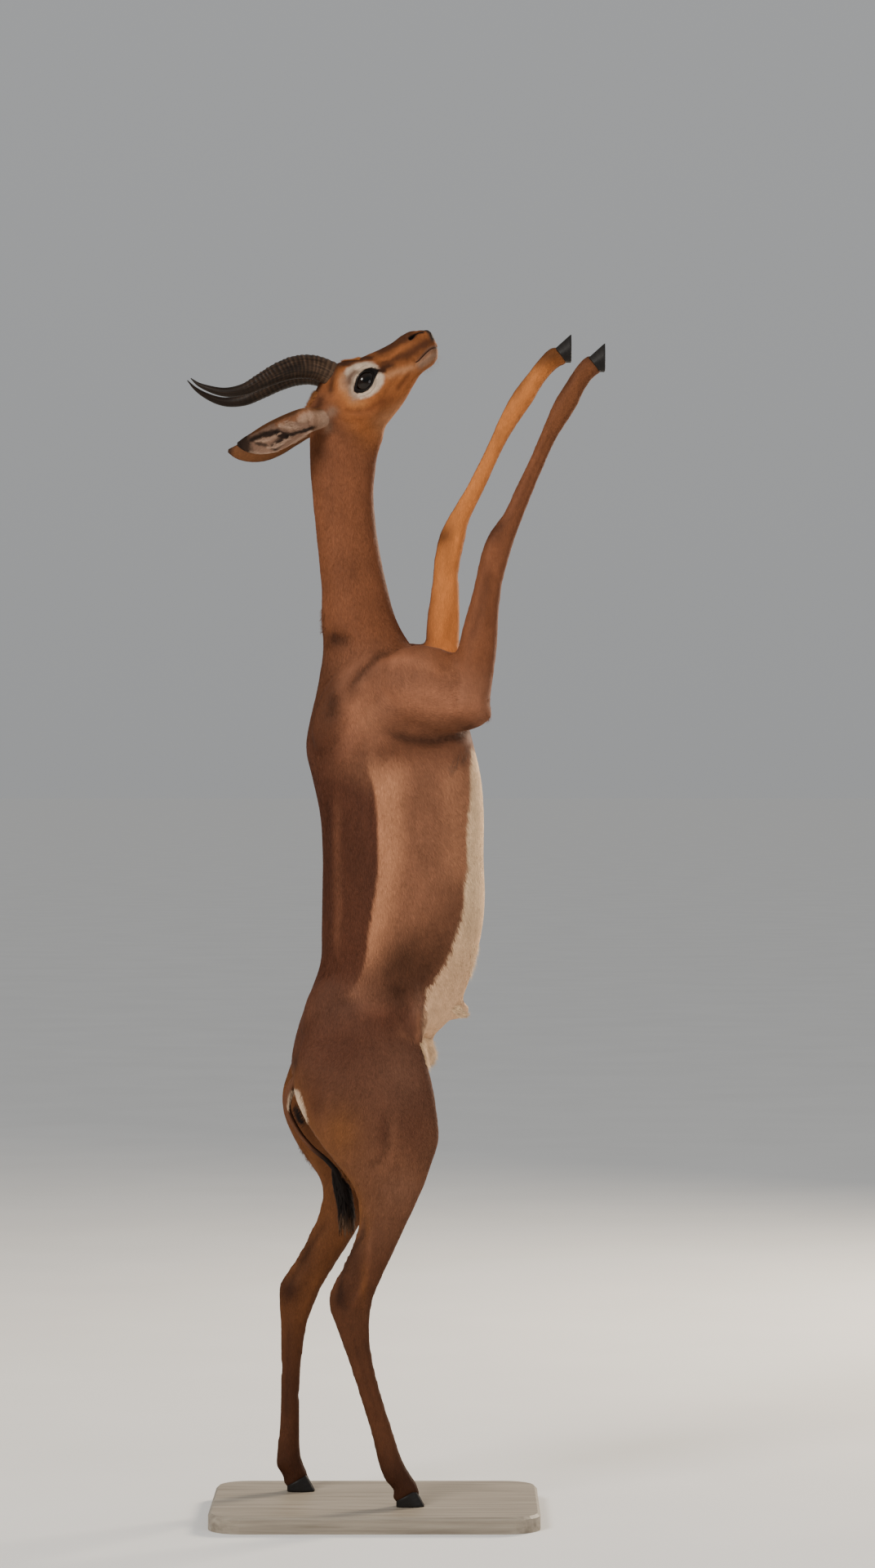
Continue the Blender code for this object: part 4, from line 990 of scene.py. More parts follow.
@dataclass
class Markings:
    """Paints the skin and the coat from one set of rules, the same for both: markings, painted shade and painted light.
    """

    anatomy: Anatomy

    def colours(self, points: np.ndarray, normals: np.ndarray, parts: np.ndarray) -> np.ndarray:
        """Colour points by where they are on the animal.

        Args:
            points: Places on the skin.
            normals: The skin's normals there.
            parts: The parts they belong to, by number.

        Returns:
            One linear colour for each point.
        """
        colour = self._body(points, normals)
        place = to_photo(points, mirrored=True)
        inner = smoothstep(-np.sign(points[:, 1]) * normals[:, 1], 0.0, 0.6)
        hind_leg = np.isin(parts, [Part.HIND_RIGHT.value, Part.HIND_LEFT.value])
        hip = smoothstep(points[:, 2] + 0.02 * lattice_noise(points, 0.05, 14), 1.03, 0.93)
        white = (parts == Part.TORSO.value) * smoothstep(place[:, 0], edge_at(place[:, 1], BELLY_EDGE) - 1, edge_at(place[:, 1], BELLY_EDGE) + 2)
        white = np.clip(white + (parts == Part.TORSO.value) * smoothstep(normals[:, 0], 0.2, 0.6), 0, 1)
        hip *= np.where(hind_leg, 1.0, 1.0 - white) * (points[:, 2] < 1.3)
        colour = self._mix(colour, self._hind(points, normals, inner), hip)
        arm = smoothstep(place[:, 0], 512, 540) * smoothstep(place[:, 1], 848, 800) * (points[:, 2] > 1.4)
        arm = np.where(np.isin(parts, [Part.FORE_RIGHT.value, Part.FORE_LEFT.value, Part.TORSO.value]), arm, 0.0)
        colour = self._mix(colour, self._fore(points, normals, inner), arm)
        head = self._head(points, normals)
        collar = smoothstep(points[:, 2], 1.93, 2.01)
        near_head = np.isin(parts, [Part.HEAD.value, Part.NECK.value])
        colour = self._mix(colour, head, np.where(near_head, collar, 0.0))
        for part, side in ((Part.EAR_RIGHT, Side.RIGHT), (Part.EAR_LEFT, Side.LEFT)):
            mine = parts == part.value
            if mine.any():
                colour[mine] = self._ear(points[mine], normals[mine], side)
        tail = parts == Part.TAIL.value
        if tail.any():
            colour[tail] = self._tail(points[tail], normals[tail])
        far, outer = points[:, 1] > 0.0, normals[:, 1] > 0.15
        rear = normals[:, 0] < 0.4
        # Painted shadow: black under the tail, between the hind legs.
        gap = outline_distance(to_photo(points), RUMP_SHADOW)
        colour = self._mix(colour, LID_BLACK, smoothstep(gap, 1.2, -1.0) * (rear & ~(far & outer) & ~tail))
        place[:, 0] += FAR_RUMP_SHIFT * far
        gap = outline_distance(place, RUMP_WHITE)
        rear &= ~far | (outer & ~tail)
        colour = self._mix(colour, HAIR_WHITE, smoothstep(gap, 1.2, -0.8) * rear)
        # Painted shade and light: the colour is darkened along the worked furrows and lightened on the worked ridges.
        low = points[:, 2] < 1.98
        relief_shading = sum(stroke.lift * stroke.share(points[low], normals[low], parts[low]) for stroke in BODY_STROKES)
        colour[low] *= np.clip(1 + 0.095 * relief_shading, 0.42, 1.35)[:, None]
        mottle = 1.0 + 0.08 * lattice_noise(points, 0.010, 5) + 0.11 * lattice_noise(points, 0.045, 6)
        return np.clip(colour * mottle[:, None], 0.001, 0.95)

    @staticmethod
    def _mix(colour: np.ndarray, other: np.ndarray | Colour, share: np.ndarray) -> np.ndarray:
        """Blend towards another colour by a share for each point."""
        return colour + (np.asarray(other) - colour) * np.clip(share, 0, 1)[:, None]

    def _spots(self, colour: np.ndarray, place: np.ndarray, spots: tuple) -> np.ndarray:
        """Blend in soft oval spots: place, half size, colour and depth of each."""
        for middle, size, shade, depth in spots:
            away = (place - np.array(middle)) / np.array(size)
            colour = self._mix(colour, shade, depth * np.exp(-np.sum(away**2, axis=1)))
        return colour

    def _body(self, points: np.ndarray, normals: np.ndarray) -> np.ndarray:
        """The neck's and trunk's colours: saddle, pale stripe, flank and white belly, with painted shade in the neck's
        creases, under the ear, under the arm and on the lower belly, and painted rim light on the breast.
        """
        place = to_photo(points, mirrored=True)
        rough = 0.7 * lattice_noise(points, 0.006, 11) + 1.8 * lattice_noise(points, 0.04, 12)
        right, down = place[:, 0] + rough, place[:, 1] + 2.0 * rough
        colour = np.tile(np.array(CHESTNUT), (len(points), 1))
        colour = self._mix(colour, SHOULDER, smoothstep(down, 770, 830))
        colour = self._mix(colour, FLANK, smoothstep(down, 900, 960))
        colour = self._mix(colour, BUFF, smoothstep(right, 528, 556) * smoothstep(down, 930, 950) * smoothstep(down, 1110, 1050) * 0.5)
        colour = self._mix(colour, CHESTNUT_DEEP, smoothstep(right, 430, 398) * smoothstep(down, 755, 830) * 0.78)
        colour = self._spots(colour, place, BODY_SPOTS)
        saddle_edge = edge_at(down, SADDLE_EDGE)
        stripe_edge = edge_at(down, STRIPE_EDGE)
        stripe = smoothstep(right, stripe_edge + 13, stripe_edge - 19)
        colour = self._mix(colour, BUFF, stripe * smoothstep(down, 915, 965) * smoothstep(down, 1225, 1105))
        dark = outline_distance(np.column_stack([right, down]), DARK_FLANK)
        colour = self._mix(colour, FLANK_DARK, smoothstep(dark, 26, -16) * (0.40 + 0.50 * smoothstep(down, 1110, 1200)))
        saddle = smoothstep(right, saddle_edge + 2.5, saddle_edge - 2.5)
        colour = self._mix(colour, SADDLE, saddle * smoothstep(down - 0.5 * (right - 430), 850, 975) ** 1.3)
        rib = np.exp(-(((right - 413) / 5) ** 2)) * smoothstep(down, 960, 1000) * smoothstep(down, 1180, 1140)
        colour = self._mix(colour, FLANK, rib * 0.22)
        edge = edge_at(down, BELLY_EDGE)
        belly = smoothstep(right, edge - 1.5, edge + 2.5)
        colour = self._mix(colour, CREAM, belly * smoothstep(down, 885, 915))
        # Painted shade: the white belly turns towards buff lower down.
        return self._mix(colour, BUFF, belly * smoothstep(down, 1080, 1210) * 0.4)

    def _hind(self, points: np.ndarray, normals: np.ndarray, inner: np.ndarray) -> np.ndarray:
        """The hind legs' colours from the hip to the hooves, with painted shade and highlight at the hocks."""
        high = points[:, 2]
        place = to_photo(points)
        colour = np.tile(np.array(HAUNCH), (len(points), 1))
        near = to_photo(points, mirrored=True)
        colour = self._mix(colour, THIGH, smoothstep(high, 0.80, 0.64))
        colour = self._spots(colour, near, HIP_SPOTS)
        colour = self._mix(colour, SHANK, smoothstep(high, 0.58, 0.42))
        rear = smoothstep(-normals[:, 0], 0.1, 0.9) * smoothstep(high, 0.48, 0.56) * smoothstep(high, 0.86, 0.76)
        colour = self._mix(colour, THIGH_REAR, rear)
        colour = self._mix(colour, LEG_WARM, inner * 0.85 * smoothstep(high, 0.20, 0.45))
        colour = self._mix(colour, CREAM, inner * smoothstep(high, 0.76, 0.90) * smoothstep(normals[:, 0], -0.3, 0.3))
        colour = self._mix(colour, SHANK_DARK, smoothstep(high, 0.15, 0.08) * 0.75)
        # Painted shade in the hocks' hollows and grooves, and painted highlight on the near hock's tendon and shin.
        for spots, side in ((HOCK_SPOTS_RIGHT, -1), (HOCK_SPOTS_LEFT, 1)):
            worked = self._spots(colour, place, spots)
            colour = np.where((points[:, 1] * side > 0)[:, None], worked, colour)
        return colour

    def _fore(self, points: np.ndarray, normals: np.ndarray, inner: np.ndarray) -> np.ndarray:
        """The raised forelegs' colours from the elbow to the hooves, with painted glow of back light on their inner
        sides.
        """
        high = points[:, 2]
        arm = np.tile(np.array(CHESTNUT), (len(points), 1))
        arm = self._mix(arm, LEG_WARM, smoothstep(high, 1.85, 2.02) * 0.5)
        # Painted glow of back light on the forelegs' inner sides.
        arm = self._mix(arm, BACKLIT_ORANGE, inner * 0.85)
        gap, _ = line_distance(to_photo(points, mirrored=False), ((601, 705), (597, 765)))
        arm = self._mix(arm, ARM_DARK_AND_SHADE, 0.4 * np.exp(-((gap / 5) ** 2)) * (points[:, 1] < 0))
        knee = np.exp(-(((high - 1.800) / 0.022) ** 2)) * smoothstep(-normals[:, 0], -0.3, 0.5)
        arm = self._mix(arm, SHANK_DARK, knee * 0.75)
        fetlock = np.exp(-(((high - 2.075) / 0.030) ** 2)) * smoothstep(-normals[:, 0], 0.0, 0.7)
        arm = self._mix(arm, SHANK_DARK, fetlock * 0.5)
        return self._mix(arm, SHANK_DARK, smoothstep(high, 2.095, 2.135) * 0.8)

    def _head(self, points: np.ndarray, normals: np.ndarray) -> np.ndarray:
        """The head's colours: dark bridge, white rings, tear line, lips and nose, with painted glow on the lower jaw
        and painted shade on the muzzle, round the eye and in mouth and nostrils.
        """
        local = to_head(points)
        rough = 0.9 * lattice_noise(points, 0.003, 21) + 1.4 * lattice_noise(points, 0.009, 22)
        along, up = local[:, 0] + rough, local[:, 2] + rough
        side = np.abs(local[:, 1])
        flat = np.column_stack([along, up])
        colour = np.tile(np.array(FACE), (len(points), 1))
        colour = self._mix(colour, CHESTNUT, smoothstep(along, 30, -20))
        # Painted glow of back light: paler towards the rim of the lower jaw.
        colour = self._mix(colour, FACE_PALE, smoothstep(up, -62, -90) * smoothstep(along, 30, 70) * 0.5)
        crown = smoothstep(side, 27, 14) * smoothstep(up, 4, 18)
        colour = self._mix(colour, FOREHEAD, crown * smoothstep(along, 118, 80))
        colour = self._mix(colour, BRIDGE, crown * smoothstep(along, 100, 128) * smoothstep(along, 212, 190) * 0.9)
        for line, reach, shade, depth in FACE_LINES:
            gap, _ = line_distance(flat, line)
            colour = self._mix(colour, shade, np.exp(-((gap / reach) ** 2)) * depth)
        beside = side > 10
        ring = outline_distance(flat, EYE_RING)
        dark = outline_distance(np.column_stack([local[:, 0], local[:, 2]]) + 0.25 * rough[:, None], DARK_EYE)
        colour = self._mix(colour, RING_WHITE, smoothstep(ring, 4.5, -3.5) * beside)
        rear, _ = line_distance(flat, ((43, 2), (40, -14), (42, -30)))
        colour = self._mix(colour, LIP_PALE, np.exp(-((rear / 9.0) ** 2)) * 0.78 * beside)
        grey, _ = line_distance(flat, ((47, -2), (51, 5), (58, 8), (65, 10)))
        colour = self._mix(colour, CHESTNUT_DEEP, np.exp(-((grey / 6.0) ** 2)) * 0.85 * beside)
        # Painted shade: a grey line along the groove that rings the eye's dark skin.
        crease = np.exp(-(((dark - 6.2) / 1.1) ** 2)) * smoothstep(local[:, 0], 100, 80)
        colour = self._mix(colour, RING_GREY, crease * 0.7 * beside)
        tear, _ = line_distance(flat, ((100, -7), (106, -10), (113, -12.5)))
        colour = self._mix(colour, BRIDGE, smoothstep(tear, 7.0, 2.0) * beside)
        colour = self._mix(colour, LID_BLACK, smoothstep(dark, 0.9, 0.1) * beside)
        lips, _ = line_distance(flat, MOUTH_LINE)
        colour = self._mix(colour, LIP, smoothstep(lips, 7, 2) * smoothstep(along, 174, 192) * 0.7)
        pad = smoothstep(along, 213, 221) * smoothstep(up, -12, -4)
        pad += smoothstep(along, 198, 212) * smoothstep(up, 12, 19) * 0.7
        colour = self._mix(colour, NOSE_PAD, pad)
        # Painted shade: black along the parting of the lips.
        lips, part_way = line_distance(local[:, [0, 2]], MOUTH_LINE)
        colour = self._mix(colour, LID_BLACK, smoothstep(lips, 1.5 - 0.5 * part_way, 0.5))
        nostril, part_way = line_distance(local[:, [0, 2]], NOSTRIL_LINE)
        wide = nostril_width(part_way)
        colour = self._mix(colour, BRIDGE, smoothstep(nostril, wide + 2.8, wide + 0.6) * 0.7 * (side > 4))
        # Painted shade: black inside the nostril's pit.
        colour = self._mix(colour, LID_BLACK, smoothstep(nostril, wide + 0.5, wide - 0.7) * (side > 4))
        return colour

    def _ear(self, points: np.ndarray, normals: np.ndarray, side: Side) -> np.ndarray:
        """The ear's colours: tawny back and margin, and a cup with dark bands and white hair."""
        local = to_head(points) * np.array([1, side.value, 1])
        facing = (normals @ HEAD_TURN)[:, 1] * side.value
        shares = np.linspace(0, 1, 80)
        tube = Tube(read_path(ear_path(side), shares))
        nearest = np.argmin(
            np.linalg.norm(local[:, None, :] - tube.centres[None, :, :], axis=2), axis=1
        )
        share = shares[nearest]
        away = np.einsum("ij,ij->i", local - tube.centres[nearest], tube.deep[nearest])
        level = away / tube.rows[nearest, 3]
        rough = 1.2 * lattice_noise(points, 0.004, 31)
        colour = np.tile(np.array(EAR_BACK), (len(points), 1))
        colour = self._mix(colour, EAR_WHITE, smoothstep(share, 0.30, 0.08) * smoothstep(facing, -0.4, 0.3) * smoothstep(level, -0.85, -0.3) * 0.8)
        inner = smoothstep(facing, 0.0, 0.30) * smoothstep(share, 0.16, 0.26)
        cup = np.tile(np.array(EAR_SKIN), (len(points), 1))
        flat = np.column_stack([share, level]) * np.array(EAR_SCALE) + rough[:, None]
        for line, reach, shade, depth in EAR_LINES:
            gap, _ = line_distance(flat, tuple((a * EAR_SCALE[0], b * EAR_SCALE[1]) for a, b in line))
            cup = self._mix(cup, shade, smoothstep(gap, reach * 1.35, reach * 0.6) * depth)
        cup = self._mix(cup, EAR_BLACK, smoothstep(share + 0.01 * rough, 0.83, 0.90) * 0.9)
        colour = self._mix(colour, cup, inner)
        rim = smoothstep(np.abs(level), 0.90, 1.0) * smoothstep(share, 0.3, 0.5)
        return self._mix(colour, EAR_BLACK, np.clip(smoothstep(share, 0.93, 0.97) * 0.7 - rim * 0.3, 0, 1))

    @staticmethod
    def _tail(points: np.ndarray, normals: np.ndarray) -> np.ndarray:
        """The tail's shaft: brown behind, dark with a pale edge in front, black in the tuft."""
        share = smoothstep(points[:, 2], 0.69, 0.65)[:, None]
        front = smoothstep(normals[:, 0], -0.2, 0.5)[:, None]
        shaft = np.array(THIGH) * (1 - front) + np.array(SHANK_DARK) * front
        return shaft * (1 - share) + np.array(BLACK_HAIR) * share


FACE_LINES = (
    # Next: the upper side of the muzzle darkened with painted shade.
    (((122, 4), (146, -2), (168, -8), (196, -4), (208, -4)), 13.0, MUZZLE, 0.94),
    (((118, 9), (134, 4), (150, 6), (168, 10)), 4.5, FACE, 0.85),
    (((104, -10), (114, -7), (130, -11)), 7.0, BRIDGE, 0.90),
    (((115, -24), (138, -27), (161, -32)), 7.0, FACE_PALE, 0.60),
    (((120, -54), (135, -49), (148, -42)), 5.0, FACE_RED, 0.6),
    (((18, -45), (33, -57), (58, -64), (84, -62)), 5.0, FACE_RED, 0.65),
    (((44, 38), (60, 32), (86, 28), (104, 20)), 7.5, BRIDGE, 0.92),
    (((38, 34), (26, 24), (15, 10), (10, 2)), 7.0, BRIDGE, 0.85),
    (((41, 14), (33, 6), (30, -6)), 5.5, FACE_PALE, 0.70),
    (((30, -16), (32, -36), (46, -50)), 9.0, FACE_GOLD, 0.6),
    (((-14, -2), (-24, -13), (-38, -14)), 8.0, CHESTNUT_DEEP, 0.85),
    (((-6, -34), (-22, -38), (-29, -56)), 9.0, LIP_PALE, 0.65),
    (((178, -34), (195, -33), (211, -29)), 8.0, LIP_PALE, 0.85),
    (((200, -9), (216, -8)), 6.5, BRIDGE, 0.55),
    (((30, -66), (60, -74), (96, -64)), 14.0, FACE_RED, 0.55),
    (((-20, -60), (-6, -86), (8, -100)), 12.0, CHESTNUT_DEEP, 0.35),
)

EAR_SCALE = (190.0, 26.0)
EAR_LINES = (
    (((0.52, -0.72), (0.31, -0.50), (0.12, -0.80)), 6.0, FACE, 0.50),
    (((0.84, -0.95), (0.62, -0.94), (0.42, -0.93), (0.25, -0.90)), 3.4, EAR_BACK, 0.90),
    (((0.84, -0.42), (0.74, -0.46), (0.66, -0.34), (0.58, -0.24)), 6.0, EAR_BLACK, 0.95),
    (((0.66, 0.62), (0.58, 0.45), (0.50, 0.28), (0.56, -0.12)), 7.6, EAR_BLACK, 0.95),
    (((0.50, 0.34), (0.40, 0.46), (0.26, 0.71), (0.12, 0.79)), 3.4, EAR_BLACK, 0.95),
    (((0.80, 0.02), (0.72, 0.34)), 3.2, EAR_BLACK, 0.75),
    (((0.80, -0.16), (0.69, 0.04), (0.60, -0.02)), 2.2, EAR_WHITE, 0.80),
    (((0.72, 0.52), (0.62, 0.70), (0.53, 0.54)), 1.9, EAR_WHITE, 0.80),
    (((0.50, -0.52), (0.46, -0.30), (0.42, -0.02)), 3.4, EAR_WHITE, 0.90),
    (((0.27, -0.30), (0.17, -0.35), (0.08, 0.15)), 8.0, EAR_WHITE, 0.75),
    (((0.16, -0.22), (0.17, -0.08)), 2.0, EAR_BACK, 0.80),
    (((0.90, 0.88), (0.77, 0.96), (0.61, 1.08), (0.33, 0.95), (0.13, 1.0)), 2.2, EAR_WHITE, 0.75),
)
BODY_SPOTS = (
    # The next four rows: painted shade in the creases at the base of the neck.
    ((410, 785), (14, 13), CHESTNUT_DEEP, 0.75),
    ((408, 860), (10, 24), CHESTNUT_DEEP, 0.6),
    ((430, 842), (9, 16), CHESTNUT_DEEP, 0.55),
    ((450, 820), (14, 10), CHESTNUT_DEEP, 0.35),
    # The next four rows: the darker underside of the upper arm, partly its hair and partly painted shadow.
    ((496, 884), (34, 22), ARM_DARK_AND_SHADE, 0.55),
    ((520, 910), (40, 16), ARM_DARK_AND_SHADE, 0.60),
    ((562, 886), (26, 12), ARM_DARK_AND_SHADE, 0.60),
    ((480, 920), (26, 14), ARM_DARK_AND_SHADE, 0.55),
    # Next: painted rim light along the breast's front edge.
    ((545, 808), (24, 18), BUFF, 0.40),
    ((450, 876), (18, 30), BUFF, 0.16),
    # Next: painted shadow beneath the ear.
    ((393, 546), (11, 24), CHESTNUT_DEEP, 0.80),
    ((444, 536), (9, 14), CHESTNUT_DEEP, 0.30),
    ((430, 705), (14, 22), CHESTNUT_DEEP, 0.35),
    ((470, 790), (20, 12), CHESTNUT_DEEP, 0.20),
)
HIP_SPOTS = (
    ((410, 1276), (58, 42), SADDLE, 0.80),
    ((478, 1248), (34, 20), SADDLE, 0.75),
    ((438, 1216), (14, 14), HIP_PALE, 0.15),
    ((512, 1228), (6, 16), HIP_PALE, 0.80),
    ((488, 1211), (18, 14), SHANK_DARK, 0.85),
    ((490, 1312), (30, 30), HIP_PALE, 0.22),
    ((418, 1385), (24, 34), THIGH_REAR, 0.75),
    ((384, 1345), (14, 24), SADDLE, 0.8),
    ((508, 1385), (20, 32), SADDLE, 0.5),
    ((490, 1455), (24, 22), HIP_PALE, 0.20),
    ((468, 1385), (8, 26), SADDLE, 0.5),
    ((362, 1301), (4, 9), LID_BLACK, 0.7),
)
# Painted shade in the hollow of the near hock, and painted highlight along its tendon and shin.
HOCK_SPOTS_RIGHT = (
    ((417, 1589), (12, 17), SHANK_DARK, 0.90),
    ((436, 1540), (11, 30), SHANK_DARK, 0.6),
    ((405, 1560), (6, 26), LEG_WARM, 0.8),
    ((446, 1570), (5, 30), LEG_WARM, 0.7),
)
# Painted shade in the far hock's hollow and along its shank; the last row colours the rear of the thigh.
HOCK_SPOTS_LEFT = (
    ((354, 1580), (14, 17), SHANK_DARK, 0.9),
    ((374, 1535), (11, 30), SHANK_DARK, 0.5),
    ((354, 1685), (12, 85), SHANK_DARK, 0.5),
    ((384, 1425), (8, 16), THIGH_REAR, 0.8),
)
FAR_RUMP_SHIFT = 15.0
RUMP_WHITE = (
    (352, 1358), (353, 1345), (357, 1336), (361, 1333), (366, 1336), (370, 1346), (374, 1362), (376, 1374), (371, 1366),
    (364, 1352), (359, 1352), (355, 1360),
)
# The outline of the painted shadow under the tail, between the hind legs.
RUMP_SHADOW = ((361, 1352), (366, 1354), (371, 1366), (375, 1376), (372, 1378), (365, 1374), (361, 1364))


# The coat


@dataclass
class Blades:
    """Flat tapered closed slivers of hair, made many at a time."""

    name: str
    centres: np.ndarray
    half_widths: np.ndarray
    normals: np.ndarray
    colours: np.ndarray
    places: np.ndarray
    thickness: float = 0.45
    tip_shade: float = 1.10
    softness: float = 0.75
    patch: float = 0.003

    def build(self) -> bpy.types.Object:
        """Make the mesh with its colours, its bake map and soft normals.

        Returns:
            The new object.
        """
        count, stations, _ = self.centres.shape
        rings = stations - 1
        forward = self.centres[:, 1:] - self.centres[:, :-1]
        across = np.cross(np.repeat(self.normals[:, None, :], rings, 1), forward)
        across /= np.maximum(np.linalg.norm(across, axis=2, keepdims=True), 1e-9)
        rise = np.cross(forward, across)
        rise /= np.maximum(np.linalg.norm(rise, axis=2, keepdims=True), 1e-9)
        half = self.half_widths[:, :, None]
        body = self.centres[:, :rings]
        ring = np.stack(
            [body - across * half, body + across * half, body + rise * half * self.thickness], axis=2
        )
        per = 3 * rings + 1
        verts = np.concatenate([ring.reshape(count, 3 * rings, 3), self.centres[:, -1:]], axis=1)
        tris = [(0, 2, 1)]
        quads = []
        for k in range(rings - 1):
            for n in range(3):
                m = (n + 1) % 3
                quads.append((3 * k + n, 3 * k + m, 3 * k + 3 + m, 3 * k + 3 + n))
        top = 3 * (rings - 1)
        for n in range(3):
            tris.append((top + n, top + (n + 1) % 3, per - 1))
        return self._fill(verts, tris, quads, count, per, rings)

    def _fill(self, verts: np.ndarray, tris: list, quads: list, count: int, per: int, rings: int) -> bpy.types.Object:
        """Fill a mesh with the blades' arrays.

        Args:
            verts: The points of each blade.
            tris: One blade's triangles.
            quads: One blade's four-sided faces.
            count: How many blades there are.
            per: How many points a blade has.
            rings: How many rings a blade has.

        Returns:
            The new object.
        """
        pattern = np.concatenate([np.array(tris).ravel(), np.array(quads, dtype=int).ravel()])
        totals = np.array([3] * len(tris) + [4] * len(quads))
        loops = (np.arange(count)[:, None] * per + pattern[None, :]).ravel()
        totals = np.tile(totals, count)
        starts = np.concatenate([[0], np.cumsum(totals)[:-1]])
        mesh = bpy.data.meshes.new(self.name)
        mesh.vertices.add(count * per)
        mesh.vertices.foreach_set("co", verts.ravel())
        mesh.loops.add(len(loops))
        mesh.loops.foreach_set("vertex_index", loops)
        mesh.polygons.add(len(totals))
        mesh.polygons.foreach_set("loop_start", starts)
        mesh.update(calc_edges=True)
        along = np.append(np.repeat(np.arange(rings) / rings, 3), 1.0)
        shade = (0.90 + (self.tip_shade - 0.90) * along)[None, :, None]
        colours = np.clip(self.colours[:, None, :] * shade, 0, 1)
        colours = np.concatenate([colours, np.ones((count, per, 1))], axis=2)
        layer = mesh.color_attributes.new("coat", "FLOAT_COLOR", "POINT")
        layer.data.foreach_set("color", colours.ravel())
        flat = np.column_stack([np.append(np.tile([0.0, 1.0, 0.5], rings), 0.5), along])
        corners = self.places[:, None, :] + (flat - 0.5)[None, :, :] * self.patch
        uvs = corners.reshape(-1, 2)[loops]
        mesh.uv_layers.new(name="OFBake").data.foreach_set("uv", uvs.ravel())
        mesh.shade_smooth()
        obj = bpy.data.objects.new(self.name, mesh)
        bpy.context.scene.collection.objects.link(obj)
        soft = np.repeat(self.normals, per, axis=0)
        own = normals_of(obj)
        mesh.normals_split_custom_set_from_vertices(unit(soft * self.softness + own * (1 - self.softness)))
        LOG.info("%s: %d tufts, %d triangles", self.name, count, count * (len(tris) + 2 * len(quads)))
        return obj


UNWRAP_BOXES = {
    Part.HEAD: (0.01, 0.70, 0.38, 0.98),
    Part.EAR_RIGHT: (0.40, 0.84, 0.54, 0.98),
    Part.EAR_LEFT: (0.56, 0.84, 0.70, 0.98),
    Part.TAIL: (0.72, 0.84, 0.80, 0.98),
    Part.NECK: (0.40, 0.60, 0.80, 0.82),
    Part.TORSO: (0.01, 0.02, 0.52, 0.58),
    Part.HIND_RIGHT: (0.54, 0.02, 0.67, 0.58),
    Part.HIND_LEFT: (0.69, 0.02, 0.82, 0.58),
    Part.FORE_RIGHT: (0.84, 0.02, 0.90, 0.58),
    Part.FORE_LEFT: (0.92, 0.02, 0.98, 0.58),
}


@dataclass
class Unwrap:
    """Lays the skin's own shape out flat: round each part's middle line, and along it."""

    def places(self, points: np.ndarray, parts: np.ndarray) -> np.ndarray:
        """Find each root's place on the flat layout.

        Args:
            points: Places on the skin.
            parts: The parts they belong to, by number.

        Returns:
            One flat place for each point.
        """
        out = np.zeros((len(points), 2))
        for part, (left, low, right, high) in UNWRAP_BOXES.items():
            mine = parts == part.value
            if not mine.any():
                continue
            round_, along = self._cylinder(points[mine], part)
            out[mine, 0] = left + (right - left) * round_
            out[mine, 1] = low + (high - low) * along
        return out

    @staticmethod
    def _cylinder(points: np.ndarray, part: Part) -> tuple[np.ndarray, np.ndarray]:
        """The share round a part's middle line and the share along it."""
        if part in LIMB_LINES:
            table = np.array(LIMB_LINES[part])
            order = np.argsort(table[:, 1])
            middle = np.interp(points[:, 2], table[order, 1], table[order, 0])
            side = -0.08 if part in (Part.FORE_RIGHT, Part.HIND_RIGHT) else 0.08
            angle = np.arctan2(points[:, 1] - side, points[:, 0] - middle)
            along = points[:, 2]
        elif part in (Part.NECK, Part.TORSO, Part.TAIL):
            middle = {Part.NECK: -0.05, Part.TORSO: 0.03, Part.TAIL: -0.12}[part]
            angle = np.arctan2(points[:, 1], points[:, 0] - middle)
            along = points[:, 2]
        else:
            local = to_head(points)
            angle = np.arctan2(local[:, 1], local[:, 2] + 25)
            along = local[:, 0]
            if part is not Part.HEAD:
                angle = np.arctan2(np.abs(local[:, 1]) - 65, local[:, 2] + 28)
        low, high = along.min(), along.max()
        share = (along - low) / max(high - low, 1e-6)
        return np.clip(angle / (2 * math.pi) + 0.5, 0.004, 0.996), np.clip(share, 0.004, 0.996)


class Kind(Enum):
    """The short coat's kinds, each with its own length, width and closeness."""

    FACE = "face"
    EAR = "ear"
    NECK = "neck"
    BACK = "back"
    BELLY = "belly"
    HAUNCH = "haunch"
    SHANK = "shank"


@dataclass(frozen=True)
class Pile:
    """How one kind of short coat grows, in millimetres and hairs' tufts to a square metre."""

    length: float
    width: float
    rise: float
    spacing: float
    stray: float


PILES = {
    Kind.FACE: Pile(4.6, 0.56, 0.34, 1.26, 0.10),
    Kind.EAR: Pile(4.6, 0.52, 0.40, 1.42, 0.14),
    Kind.NECK: Pile(11.0, 0.90, 0.52, 2.30, 0.10),
    Kind.BACK: Pile(12.5, 0.98, 0.56, 2.42, 0.10),
    Kind.BELLY: Pile(14.0, 1.00, 0.75, 2.35, 0.12),
    Kind.HAUNCH: Pile(11.0, 0.95, 0.54, 2.36, 0.10),
    Kind.SHANK: Pile(6.2, 0.75, 0.38, 2.12, 0.09),
}


